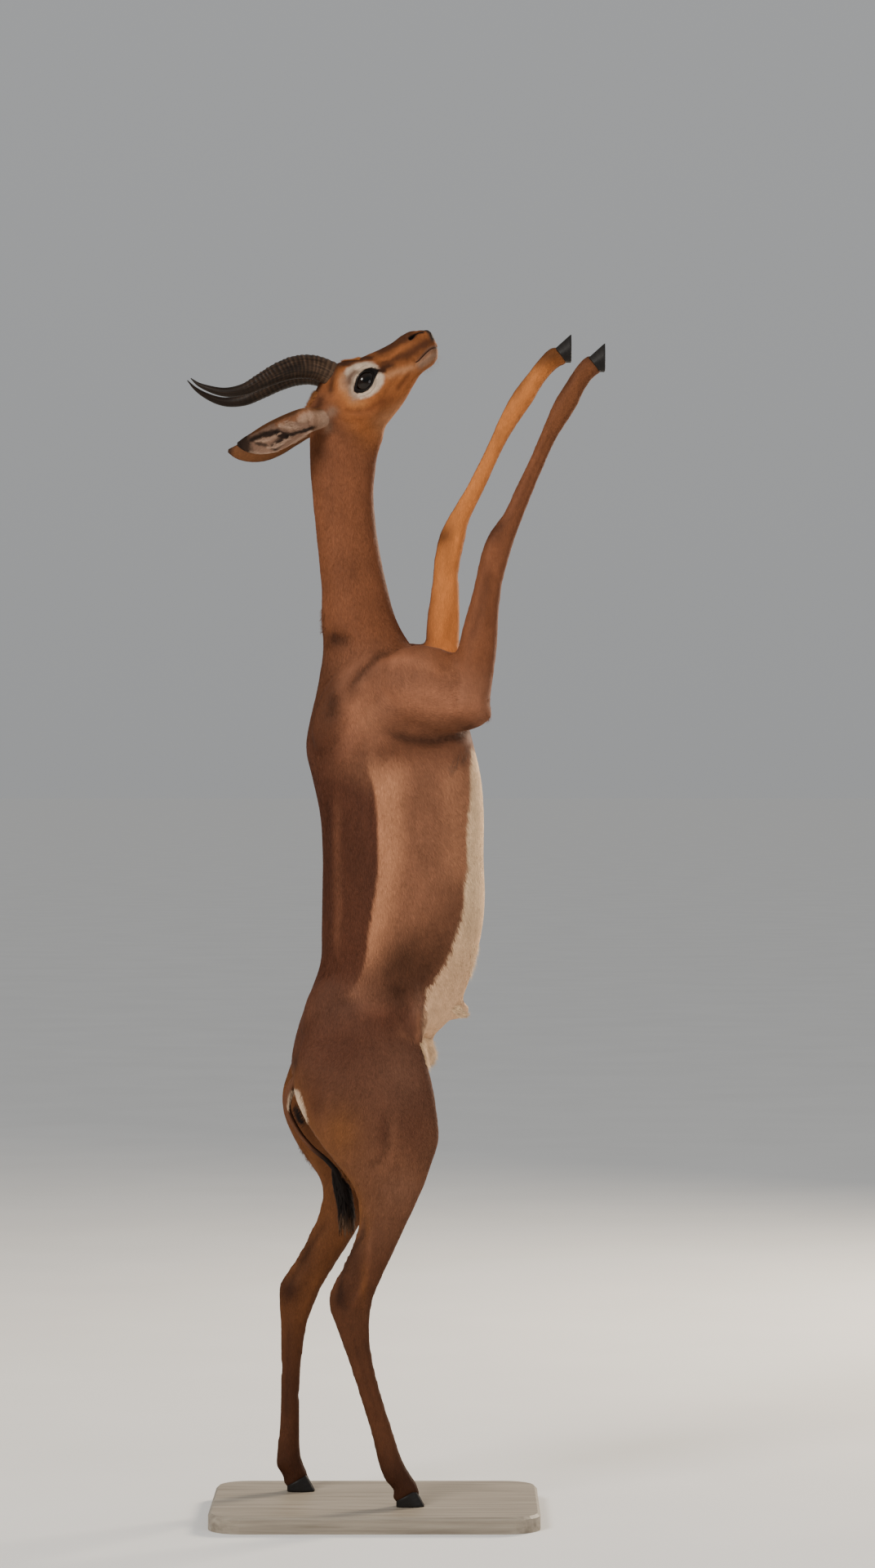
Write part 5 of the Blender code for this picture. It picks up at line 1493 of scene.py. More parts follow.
@dataclass
class Surface:
    """The skin as something that hair can be laid on."""

    skin: bpy.types.Object

    def __post_init__(self) -> None:
        """Read the skin's triangles."""
        mesh = self.skin.data
        mesh.calc_loop_triangles()
        corners = np.empty(len(mesh.loop_triangles) * 3, dtype=np.int64)
        mesh.loop_triangles.foreach_get("vertices", corners)
        self.corners = corners.reshape(-1, 3)
        self.points = points_of(self.skin)
        self.normals = normals_of(self.skin)
        self.triangles = self.points[self.corners]
        crossed = np.cross(
            self.triangles[:, 1] - self.triangles[:, 0], self.triangles[:, 2] - self.triangles[:, 0]
        )
        self.area = np.linalg.norm(crossed, axis=1) / 2
        self.facing = unit(crossed)
        self.middle = self.triangles.mean(axis=1)
        self.tree = BVHTree.FromPolygons(self.points.tolist(), self.corners.tolist())

    def roots(self, chosen: np.ndarray, count: int, draw: np.random.Generator) -> tuple:
        """Draw roots on the chosen triangles, and their normals and triangles."""
        share = np.cumsum(self.area[chosen])
        picked = chosen[np.searchsorted(share / share[-1], draw.random(count))]
        mixes = draw.dirichlet((1, 1, 1), count)
        root = np.einsum("ij,ijk->ik", mixes, self.triangles[picked])
        normal = unit(np.einsum("ij,ijk->ik", mixes, self.normals[self.corners[picked]]))
        return root, normal, picked

    def settle(self, points: np.ndarray, reach: float) -> tuple[np.ndarray, np.ndarray]:
        """Find the nearest places on the skin and the way out of it there."""
        places, outward = points.copy(), np.zeros_like(points)
        for k, point in enumerate(points.tolist()):
            place, way, _, _ = self.tree.find_nearest(point, reach)
            if place is not None:
                places[k], outward[k] = place, way
        return places, outward


@dataclass
class Lie:
    """Which way the coat lies at each place."""

    def directions(self, points: np.ndarray, normals: np.ndarray, parts: np.ndarray) -> np.ndarray:
        """Find the lie of the coat, flat on the skin.

        Args:
            points: Places on the skin.
            normals: The skin's normals there.
            parts: The parts they belong to, by number.

        Returns:
            One direction of length 1 for each point.
        """
        place = to_photo(points, mirrored=True)
        lie = np.tile(np.array([0.10, 0.0, -1.0]), (len(points), 1))
        torso = parts == Part.TORSO.value
        slant = 0.15 + 0.45 * smoothstep(place[:, 0], 470, 560)
        lie[torso, 0] = slant[torso]
        arm = np.exp(-(((place[:, 0] - 540) / 75) ** 2) - (((place[:, 1] - 872) / 46) ** 2)) * 1.6
        arm = np.clip(np.where(torso, arm, 0.0), 0, 1)[:, None]
        lie = lie * (1 - arm) + np.array([1.0, 0.0, -0.12]) * arm
        for part, line in LIMB_LINES.items():
            mine = parts == part.value
            if mine.any():
                lie[mine] = self._along(points[mine], np.array(line))
        fore = np.isin(parts, [Part.FORE_LEFT.value, Part.FORE_RIGHT.value])
        low = (smoothstep(points[:, 2], 1.64, 1.50) * fore)[:, None]
        lie = lie * (1 - low) + np.array([0.85, 0.0, -0.5]) * low
        hind = np.isin(parts, [Part.HIND_LEFT.value, Part.HIND_RIGHT.value])
        high = (smoothstep(points[:, 2], 0.56, 0.66) * hind)[:, None]
        rear = smoothstep(place[:, 0], 470, 400)[:, None]
        flow = np.array([0.20, 0.0, -1.0]) * (1 - rear) + np.array([-0.65, 0.0, -0.80]) * rear
        lie = lie * (1 - high) + flow * high
        head = parts == Part.HEAD.value
        back = np.tile(np.array([-1.0, 0.0, -0.25]), (len(points), 1))
        lie = np.where(head[:, None], back @ HEAD_TURN.T, lie)
        throat = np.clip(smoothstep(points[:, 2], 2.03, 1.98) * head, 0, 1)[:, None]
        lie = lie * (1 - throat) + np.array([0.0, 0.0, -1.0]) * throat
        for part, side in ((Part.EAR_RIGHT, -1), (Part.EAR_LEFT, 1)):
            mine = parts == part.value
            way = np.array([-1.0, 0.25 * side, 0.12]) @ HEAD_TURN.T
            lie[mine] = way
        tail = parts == Part.TAIL.value
        lie[tail] = np.array([0.35, 0.0, -1.0])
        lie = lie - normals * np.einsum("ij,ij->i", lie, normals)[:, None]
        return unit(lie)

    @staticmethod
    def _along(points: np.ndarray, line: np.ndarray) -> np.ndarray:
        """The direction of a limb's middle line at the height of each point."""
        middle = (line[1:] + line[:-1]) / 2
        reach = line[1:] - line[:-1]
        reach = reach / np.linalg.norm(reach, axis=1, keepdims=True)
        order = np.argsort(middle[:, 1])
        out = np.zeros((len(points), 3))
        for axis, column in ((0, 0), (2, 1)):
            out[:, axis] = np.interp(points[:, 2], middle[order, 1], reach[order, column])
        return out


@dataclass
class Coat:
    """The short coat over the whole skin, in joined pieces."""

    surface: Surface
    anatomy: Anatomy
    markings: Markings
    lie: Lie
    unwrap: Unwrap
    seed: int = 11
    limit: int = 49000

    def build(self) -> list:
        """Grow the short coat.

        Returns:
            The coat's objects.
        """
        parts = self.anatomy.part_at(self.surface.middle)
        kinds = self._kinds(self.surface.middle, parts)
        draw = np.random.default_rng(self.seed)
        pieces = []
        for number, kind in enumerate(Kind):
            pile = PILES[kind]
            mine = np.flatnonzero(kinds == number)
            count = int(self.surface.area[mine].sum() / (pile.spacing * MM) ** 2)
            root, normal, picked = self.surface.roots(mine, count, draw)
            part = parts[picked]
            order = np.argsort(root[:, 2])
            for share in np.array_split(order, int(np.ceil(count / self.limit))):
                name = f"coat_{kind.value}_{len(pieces)}"
                pieces.append(self._grow(name, pile, root[share], normal[share], part[share], draw))
        return pieces

    @staticmethod
    def _kinds(points: np.ndarray, parts: np.ndarray) -> np.ndarray:
        """Number each place's kind of coat, with -1 where none grows."""
        number = {kind: n for n, kind in enumerate(Kind)}
        place = to_photo(points, mirrored=True)
        kinds = np.full(len(points), number[Kind.BACK])
        kinds[parts == Part.NECK.value] = number[Kind.NECK]
        torso = parts == Part.TORSO.value
        kinds[torso & (points[:, 2] > 1.40)] = number[Kind.NECK]
        belly = torso & (place[:, 0] > edge_at(place[:, 1], BELLY_EDGE)) & (place[:, 1] > 905)
        kinds[belly] = number[Kind.BELLY]
        hind = np.isin(parts, [Part.HIND_LEFT.value, Part.HIND_RIGHT.value])
        kinds[hind] = number[Kind.HAUNCH]
        kinds[hind & (points[:, 2] < 0.56)] = number[Kind.SHANK]
        kinds[np.isin(parts, [Part.FORE_LEFT.value, Part.FORE_RIGHT.value])] = number[Kind.SHANK]
        kinds[parts == Part.HEAD.value] = number[Kind.FACE]
        kinds[np.isin(parts, [Part.EAR_LEFT.value, Part.EAR_RIGHT.value])] = number[Kind.EAR]
        kinds[parts == Part.TAIL.value] = number[Kind.FACE]
        local = to_head(points)
        head = parts == Part.HEAD.value
        flat = local[:, [0, 2]]
        bare = head & (outline_distance(flat, DARK_EYE) < 0.6) & (np.abs(local[:, 1]) > 8)
        pad = head & (local[:, 0] > 217) & (local[:, 2] > -12)
        mouth, _ = line_distance(flat, MOUTH_LINE)
        nostril, along = line_distance(flat, NOSTRIL_LINE)
        bare |= pad | (head & ((mouth < 1.6) | (nostril < nostril_width(along) + 1.2)) & (local[:, 0] > 165))
        return np.where(bare, -1, kinds)

    def _grow(self, name: str, pile: Pile, root: np.ndarray, normal: np.ndarray, part: np.ndarray, draw: np.random.Generator) -> bpy.types.Object:
        """Grow one piece of the short coat.

        Args:
            name: The piece's name.
            pile: How it grows.
            root: Where its tufts are rooted.
            normal: The skin's normals there.
            part: The parts they belong to, by number.
            draw: The source of its seeded chances.

        Returns:
            The new object.
        """
        count = len(root)
        lie = self.lie.directions(root, normal, part)
        across = np.cross(normal, lie)
        swirl = pile.stray * (draw.normal(size=count) + 1.5 * lattice_noise(root, 0.035, 41))
        lie = unit(lie + across * swirl[:, None])
        length = pile.length * MM * (0.75 + 0.5 * draw.random(count))
        local = to_head(root)
        near_eye = np.exp(-((almond_distance(local) / 9.0) ** 2)) * (part == Part.HEAD.value)
        length *= 1 - 0.45 * near_eye
        length *= 1 - 0.35 * smoothstep(local[:, 0], 150, 200) * (part == Part.HEAD.value)
        rise = pile.rise * MM * (0.6 + 0.8 * draw.random(count))
        tip, outward = self.surface.settle(root + lie * length[:, None], 0.01)
        outward = np.where(np.einsum("ij,ij->i", outward, normal)[:, None] > 0.2, outward, normal)
        start = root - normal * (rise * 0.4)[:, None]
        centres = np.stack([start, tip + outward * rise[:, None]], axis=1)
        half = pile.width * MM * (0.38 + 0.30 * draw.random(count))[:, None]
        colours = self.markings.colours(root, normal, part)
        shade = 1.0 + 0.11 * draw.normal(size=count)
        colours = colours * np.clip(shade, 0.65, 1.4)[:, None]
        blades = Blades(name, centres, half, normal, colours, self.unwrap.places(root, part))
        return blades.build()


@dataclass(frozen=True)
class Patch:
    """A place where the hair is longer: a line in the photo, its reach in pixels, and its hair.

    The way is the hair's direction, and stand is how far it stands off the skin, from 0 to 1.
    """

    name: str
    line: Points
    reach: float
    way: tuple[float, float, float]
    stand: float
    length: float
    width: float
    count: int
    colour: Colour
    parts: tuple[Part, ...]
    mirrored: bool = True
    facing: float = -0.2
    mix: float = 1.0


PATCHES = (
    # Next: the forehead's fuzz, tinted with painted glow of back light.
    Patch("forehead", ((410, 440.5), (424, 439.5), (441, 438.5)), 2.2, (-0.92, 0, 0.30), 0.35, 6.5, 0.45, 1100, BACKLIT_ORANGE, (Part.HEAD,), facing=-1.0, mix=0.45),
    Patch("nape", ((372, 502), (378, 492), (385, 482)), 5.0, (-0.8, 0, -0.1), 0.35, 7.0, 0.5, 900, FACE_GOLD, (Part.HEAD, Part.NECK), facing=-1.0, mix=0.4),
    Patch("ear_base", ((378, 511), (387, 513), (398, 517)), 5.0, (-0.45, 0, 0.55), 0.25, 5.5, 0.36, 800, EAR_WHITE, (Part.EAR_RIGHT, Part.EAR_LEFT, Part.HEAD), facing=0.1, mix=0.6),
    Patch("ear_strand_a", ((319, 539), (330, 538), (340, 533)), 1.3, (0.8, 0, 0.5), 0.15, 6.5, 0.30, 300, EAR_WHITE, (Part.EAR_RIGHT,), mirrored=False, facing=0.0),
    Patch("ear_strand_b", ((334, 546), (343, 545), (353, 537)), 1.2, (0.75, 0, 0.55), 0.15, 6.5, 0.30, 260, EAR_WHITE, (Part.EAR_RIGHT,), mirrored=False, facing=0.0),
    Patch("ear_fold", ((346, 519), (354, 518), (361, 524)), 2.6, (0.9, 0, 0.2), 0.15, 7.0, 0.36, 380, EAR_WHITE, (Part.EAR_RIGHT,), mirrored=False, facing=0.0),
    Patch("ear_margin", ((305, 554), (325, 556), (350, 553), (375, 530)), 1.6, (0.95, 0, 0.3), 0.20, 6.0, 0.36, 420, EAR_WHITE, (Part.EAR_RIGHT,), mirrored=False, facing=-0.3),
    Patch("belly_edge", ((583, 1160), (581, 1188)), 6.0, (0.35, 0, -0.93), 0.20, 12.0, 0.6, 380, CREAM, (Part.TORSO,), facing=-1.0),
    Patch("sheath", ((559, 1237), (564, 1241)), 5.5, (0.85, 0, -0.35), 0.18, 9.5, 0.6, 520, CREAM, (Part.TORSO,), facing=-1.0),
    Patch("groin", ((521, 1278), (525, 1288), (527, 1298)), 7.0, (0.70, 0, -0.71), 0.30, 13.0, 0.6, 1100, CREAM, (Part.TORSO, Part.HIND_LEFT, Part.HIND_RIGHT), facing=-1.0),
    Patch("armpit", ((556, 938), (564, 926), (574, 914)), 5.0, (-0.55, 0, -0.85), 0.12, 15.0, 0.6, 420, LIP, (Part.TORSO,), facing=0.1, mix=0.6),
    Patch("flank_fold", ((514, 1216), (517, 1232), (519, 1250)), 4.0, (0.25, 0, -0.97), 0.15, 10.0, 0.5, 320, HIP_PALE, (Part.TORSO, Part.HIND_RIGHT, Part.HIND_LEFT), facing=0.1, mix=0.7),
    Patch("elbow", ((597, 880), (603, 868), (600, 855)), 4.0, (0.5, 0, -0.85), 0.22, 7.0, 0.6, 220, CHESTNUT, (Part.FORE_RIGHT, Part.FORE_LEFT, Part.TORSO), facing=-1.0, mix=0.3),
    Patch("withers", ((392, 752), (392, 766)), 8.0, (-0.6, 0, -0.5), 0.30, 8.0, 0.6, 140, CHESTNUT_DEEP, (Part.TORSO, Part.NECK), facing=-1.0, mix=0.3),
    Patch("thigh_rear", ((376, 1398), (398, 1418), (415, 1434), (428, 1452)), 4.0, (-0.30, 0, -0.95), 0.18, 9.0, 0.6, 520, THIGH_REAR, (Part.HIND_RIGHT,), mirrored=False, facing=-1.0, mix=0.4),
    Patch("far_thigh", ((370, 1400), (378, 1425), (388, 1445)), 4.0, (-0.55, 0, -0.85), 0.15, 7.5, 0.5, 300, THIGH_REAR, (Part.HIND_LEFT,), mirrored=False, facing=-1.0, mix=0.6),
    Patch("rump_white", ((353, 1352), (357, 1339), (361, 1335), (366, 1338), (371, 1353), (375, 1370)), 2.2, (0.05, 0, -1.0), 0.15, 7.0, 0.45, 520, HAIR_WHITE, (Part.HIND_RIGHT, Part.TORSO, Part.TAIL), mirrored=False, facing=-1.0),
)


@dataclass
class LongHair:
    """The longer hair: fuzz of crown, nape and ears, and tufts of belly, groin and joints."""

    surface: Surface
    anatomy: Anatomy
    markings: Markings
    unwrap: Unwrap
    seed: int = 37

    def build(self) -> list:
        """Grow every patch and the whiskers, and join them into one piece.

        Returns:
            The joined piece.
        """
        self._parts = self.anatomy.part_at(self.surface.middle)
        draw = np.random.default_rng(self.seed)
        pieces = [self._patch(patch, draw) for patch in PATCHES]
        pieces.append(self._whiskers(draw))
        return [join_all([piece for piece in pieces if piece is not None], "coat_long")]

    def _patch(self, patch: Patch, draw: np.random.Generator) -> bpy.types.Object | None:
        """Grow one patch, or nothing where no skin is near it."""
        middle = self.surface.middle
        gap, _ = line_distance(to_photo(middle, patch.mirrored), patch.line)
        of_part = np.isin(self._parts, [part.value for part in patch.parts])
        outward = self.surface.facing[:, 1] * np.sign(middle[:, 1])
        chosen = np.flatnonzero((gap < patch.reach) & of_part & (outward > patch.facing))
        if not len(chosen):
            LOG.warning("no skin near the patch %s", patch.name)
            return None
        both = len(np.unique(np.sign(middle[chosen, 1]))) > 1
        root, normal, picked = self.surface.roots(chosen, patch.count * (2 if both else 1), draw)
        part = self._parts[picked]
        count = len(root)
        way = np.tile(unit(np.array([patch.way])), (count, 1))
        flat = way - normal * np.einsum("ij,ij->i", way, normal)[:, None] * (1 - patch.stand)
        wander = draw.normal(scale=0.16, size=(count, 3))
        lie = unit(flat + normal * patch.stand * 0.6 + wander)
        length = patch.length * MM * (0.65 + 0.6 * draw.random(count))
        stations = np.array([0.0, 0.55, 1.0])
        droop = unit(way)[:, None, :] * (length[:, None] * stations**2 * 0.25)[:, :, None]
        centres = root[:, None, :] - normal[:, None, :] * 0.0006
        centres = centres + lie[:, None, :] * (length[:, None] * stations)[:, :, None] + droop
        half = patch.width * MM * (0.35 + 0.35 * draw.random(count))[:, None] * np.array([0.9, 0.7])
        own = self.markings.colours(root, normal, part)
        colours = own + (np.array(patch.colour) - own) * patch.mix
        colours = colours * np.clip(1 + 0.16 * draw.normal(size=count), 0.6, 1.5)[:, None]
        places = self.unwrap.places(root, part)
        return Blades(f"hair_{patch.name}", centres, half, normal, np.clip(colours, 0, 1), places).build()

    def _whiskers(self, draw: np.random.Generator) -> bpy.types.Object:
        """The few stiff whiskers of chin and lips."""
        local = to_head(self.surface.middle)
        muzzle = (local[:, 0] > 176) & (local[:, 0] < 216) & (local[:, 2] < -28)
        chosen = np.flatnonzero(muzzle & (self._parts == Part.HEAD.value))
        root, normal, picked = self.surface.roots(chosen, 46, draw)
        part = self._parts[picked]
        lie = unit(normal + 0.35 * (np.array([[0.3, 0, -0.4]]) @ HEAD_TURN.T) + draw.normal(scale=0.18, size=root.shape))
        length = (9 + 9 * draw.random(len(root))) * MM
        stations = np.array([0.0, 0.35, 0.7, 1.0])
        centres = root[:, None, :] + lie[:, None, :] * (length[:, None] * stations)[:, :, None]
        centres += (np.array([[-0.4, 0, -0.5]]) @ HEAD_TURN.T)[None] * (length[:, None] * stations**2 * 0.25)[:, :, None]
        half = np.full((len(root), 1), 0.00014) * np.array([1.0, 0.8, 0.5])
        colours = np.tile(np.array(RING_GREY), (len(root), 1))
        places = self.unwrap.places(root, part)
        return Blades("hair_whiskers", centres, half, normal, colours, places, thickness=0.9).build()


# Finishes


class Tree:
    """A material's node tree with its Principled shader at hand."""

    def __init__(self, name: str, roughness: float, specular: float) -> None:
        """Make a Principled material of this name, roughness and specular level."""
        self.material = bpy.data.materials.new(name)
        self.material.use_nodes = True
        self.nodes = self.material.node_tree.nodes
        self.shader = self.nodes["Principled BSDF"]
        self.shader.inputs["Roughness"].default_value = roughness
        self.shader.inputs["Specular IOR Level"].default_value = specular

    def add(self, kind: str, inputs: dict | None = None, **settings: object) -> bpy.types.Node:
        """Add a node, and set its properties and its unlinked inputs."""
        node = self.nodes.new(kind)
        for key, value in settings.items():
            setattr(node, key, value)
        for key, value in (inputs or {}).items():
            node.inputs[key].default_value = value
        return node

    def link(self, source: bpy.types.Node, out: str, target: bpy.types.Node, into: str | int) -> None:
        """Link one node's output to another's input."""
        self.material.node_tree.links.new(source.outputs[out], target.inputs[into])

    def place(self, stretch: Colour, grain: bool = False) -> bpy.types.Node:
        """The object's own coordinates, or its grain map, stretched."""
        mapping = self.add("ShaderNodeMapping", {"Scale": stretch})
        if grain:
            self.link(self.add("ShaderNodeUVMap", uv_map="grain"), "UV", mapping, "Vector")
        else:
            self.link(self.add("ShaderNodeTexCoord"), "Object", mapping, "Vector")
        return mapping

    def noise(self, place: bpy.types.Node, scale: float, detail: float) -> bpy.types.Node:
        """Noise of this scale and detail over a stretched place."""
        noise = self.add("ShaderNodeTexNoise", {"Scale": scale, "Detail": detail})
        self.link(place, "Vector", noise, "Vector")
        return noise

    def spread(self, source: bpy.types.Node, low: float, high: float) -> bpy.types.Node:
        """A noise's value spread between two others."""
        spread = self.add("ShaderNodeMapRange", {"To Min": low, "To Max": high})
        self.link(source, "Fac", spread, "Value")
        return spread

    def bump(self, source: bpy.types.Node, out: str, strength: float, distance: float) -> None:
        """Raise the shader's surface by a node's value."""
        bump = self.add("ShaderNodeBump", {"Strength": strength, "Distance": distance})
        self.link(source, out, bump, "Height")
        self.link(bump, "Normal", self.shader, "Normal")

    def ramp(self, source: bpy.types.Node, out: str, stops: tuple) -> None:
        """Colour the shader by a ramp with these stops."""
        node = self.add("ShaderNodeValToRGB")
        band = node.color_ramp
        while len(band.elements) < len(stops):
            band.elements.new(0.5)
        for element, (place, colour) in zip(band.elements, stops):
            element.position = place
            element.color = (*colour, 1.0)
        self.link(source, out, node, "Fac")
        self.link(node, "Color", self.shader, "Base Color")


@dataclass(frozen=True)
class CoatFinish:
    """Painted hair or hide: the coat attribute with fine streaks, matt."""

    name: str
    bump: float = 0.35
    roughness: float = 0.68
    specular: float = 0.12

    def material(self) -> bpy.types.Material:
        """Make the material."""
        tree = Tree(self.name, self.roughness, self.specular)
        place = tree.place((1.0, 1.0, 0.28))
        fine = tree.noise(place, 420.0, 3.0)
        soft = tree.noise(place, 60.0, 4.0)
        both = tree.add("ShaderNodeMath", operation="MULTIPLY")
        tree.link(tree.spread(fine, 0.76, 1.24), "Result", both, 0)
        tree.link(tree.spread(soft, 0.82, 1.18), "Result", both, 1)
        mix = tree.add("ShaderNodeVectorMath", operation="SCALE")
        tree.link(tree.add("ShaderNodeAttribute", attribute_name="coat"), "Color", mix, 0)
        tree.link(both, "Value", mix, "Scale")
        tree.link(mix, "Vector", tree.shader, "Base Color")
        tree.bump(fine, "Fac", self.bump, 0.0006)
        return tree.material


@dataclass(frozen=True)
class HornFinish:
    """Dark ringed horn: streaks along it, a little paler on the crests of its rings as painted highlight, and towards
    its base.
    """

    name: str = "horn_keratin"

    def material(self) -> bpy.types.Material:
        """Make the material."""
        tree = Tree(self.name, 0.5, 0.13)
        streak = tree.noise(tree.place((46.0, 7.0, 1.0), grain=True), 1.0, 6.0)
        both = tree.add("ShaderNodeMath", {1: 0.30}, operation="MULTIPLY_ADD")
        # The crest attribute: painted highlight on the rings' crests, and paler towards the base.
        tree.link(tree.add("ShaderNodeAttribute", attribute_name="crest"), "Fac", both, 0)
        tree.link(streak, "Fac", both, 2)
        stops = (
            (0.30, (0.005, 0.0029, 0.0017)),
            (0.55, (0.014, 0.0080, 0.0047)),
            (0.80, (0.036, 0.0200, 0.0115)),
            (1.0, (0.075, 0.0430, 0.0250)),
        )
        tree.ramp(both, "Value", stops)
        tree.link(tree.spread(streak, 0.36, 0.62), "Result", tree.shader, "Roughness")
        tree.bump(streak, "Fac", 0.4, 0.0008)
        return tree.material


@dataclass(frozen=True)
class EyeFinish:
    """A wet dark eye: black oval pupil, deep brown iris and a glossy skin."""

    name: str = "eye_wet"

    def material(self) -> bpy.types.Material:
        """Make the material."""
        tree = Tree(self.name, 0.05, 0.27)
        noise = tree.noise(tree.place((1.0, 1.0, 1.0)), 500.0, 2.0)
        add = tree.add("ShaderNodeMath", {1: 0.08}, operation="MULTIPLY_ADD")
        tree.link(noise, "Fac", add, 0)
        tree.link(tree.add("ShaderNodeAttribute", attribute_name="iris"), "Fac", add, 2)
        stops = (
            (0.30, (0.0008, 0.0006, 0.0005)),
            (0.36, (0.0060, 0.0028, 0.0013)),
            (0.60, (0.0120, 0.0052, 0.0022)),
            (0.74, (0.0022, 0.0012, 0.0008)),
            (1.0, (0.0030, 0.0018, 0.0012)),
        )
        tree.ramp(add, "Value", stops)
        return tree.material


@dataclass(frozen=True)
class CellFinish:
    """Bare dark skin of lids, pebbled and a little moist."""

    name: str = "lid_skin"
    colour: Colour = (0.0045, 0.0032, 0.0028)

    def material(self) -> bpy.types.Material:
        """Make the material."""
        tree = Tree(self.name, 0.5, 0.2)
        cells = tree.add("ShaderNodeTexVoronoi", {"Scale": 900.0})
        tree.link(tree.place((1.0, 1.0, 1.0)), "Vector", cells, "Vector")
        tree.ramp(cells, "Distance", ((0.0, self.colour), (1.0, tuple(c * 2.2 for c in self.colour))))
        tree.bump(cells, "Distance", 0.3, 0.0003)
        return tree.material


@dataclass(frozen=True)
class GrainFinish:
    """Horn of hooves or sealed board: stretched noise as its colour and its bump."""

    name: str
    stretch: Colour
    scale: float
    stops: tuple
    bump: float
    roughness: float
    grain: bool = False

    def material(self) -> bpy.types.Material:
        """Make the material."""
        tree = Tree(self.name, self.roughness, 0.22)
        lines = tree.noise(tree.place(self.stretch, self.grain), self.scale, 6.0)
        tree.ramp(lines, "Fac", self.stops)
        tree.bump(lines, "Fac", self.bump, 0.0007)
        return tree.material


HOOF_FINISH = GrainFinish(
    "hoof_horn",
    (5.0, 26.0, 1.0),
    1.0,
    ((0.25, (0.003, 0.0023, 0.0018)), (0.55, (0.008, 0.006, 0.0047)), (0.85, (0.026, 0.019, 0.014))),
    0.5,
    0.5,
    True,
)
BOARD_FINISH = GrainFinish(
    "board",
    (3.0, 60.0, 60.0),
    2.0,
    ((0.30, (0.200, 0.165, 0.125)), (0.55, (0.290, 0.245, 0.190)), (0.80, (0.360, 0.310, 0.245))),
    0.15,
    0.5,
)


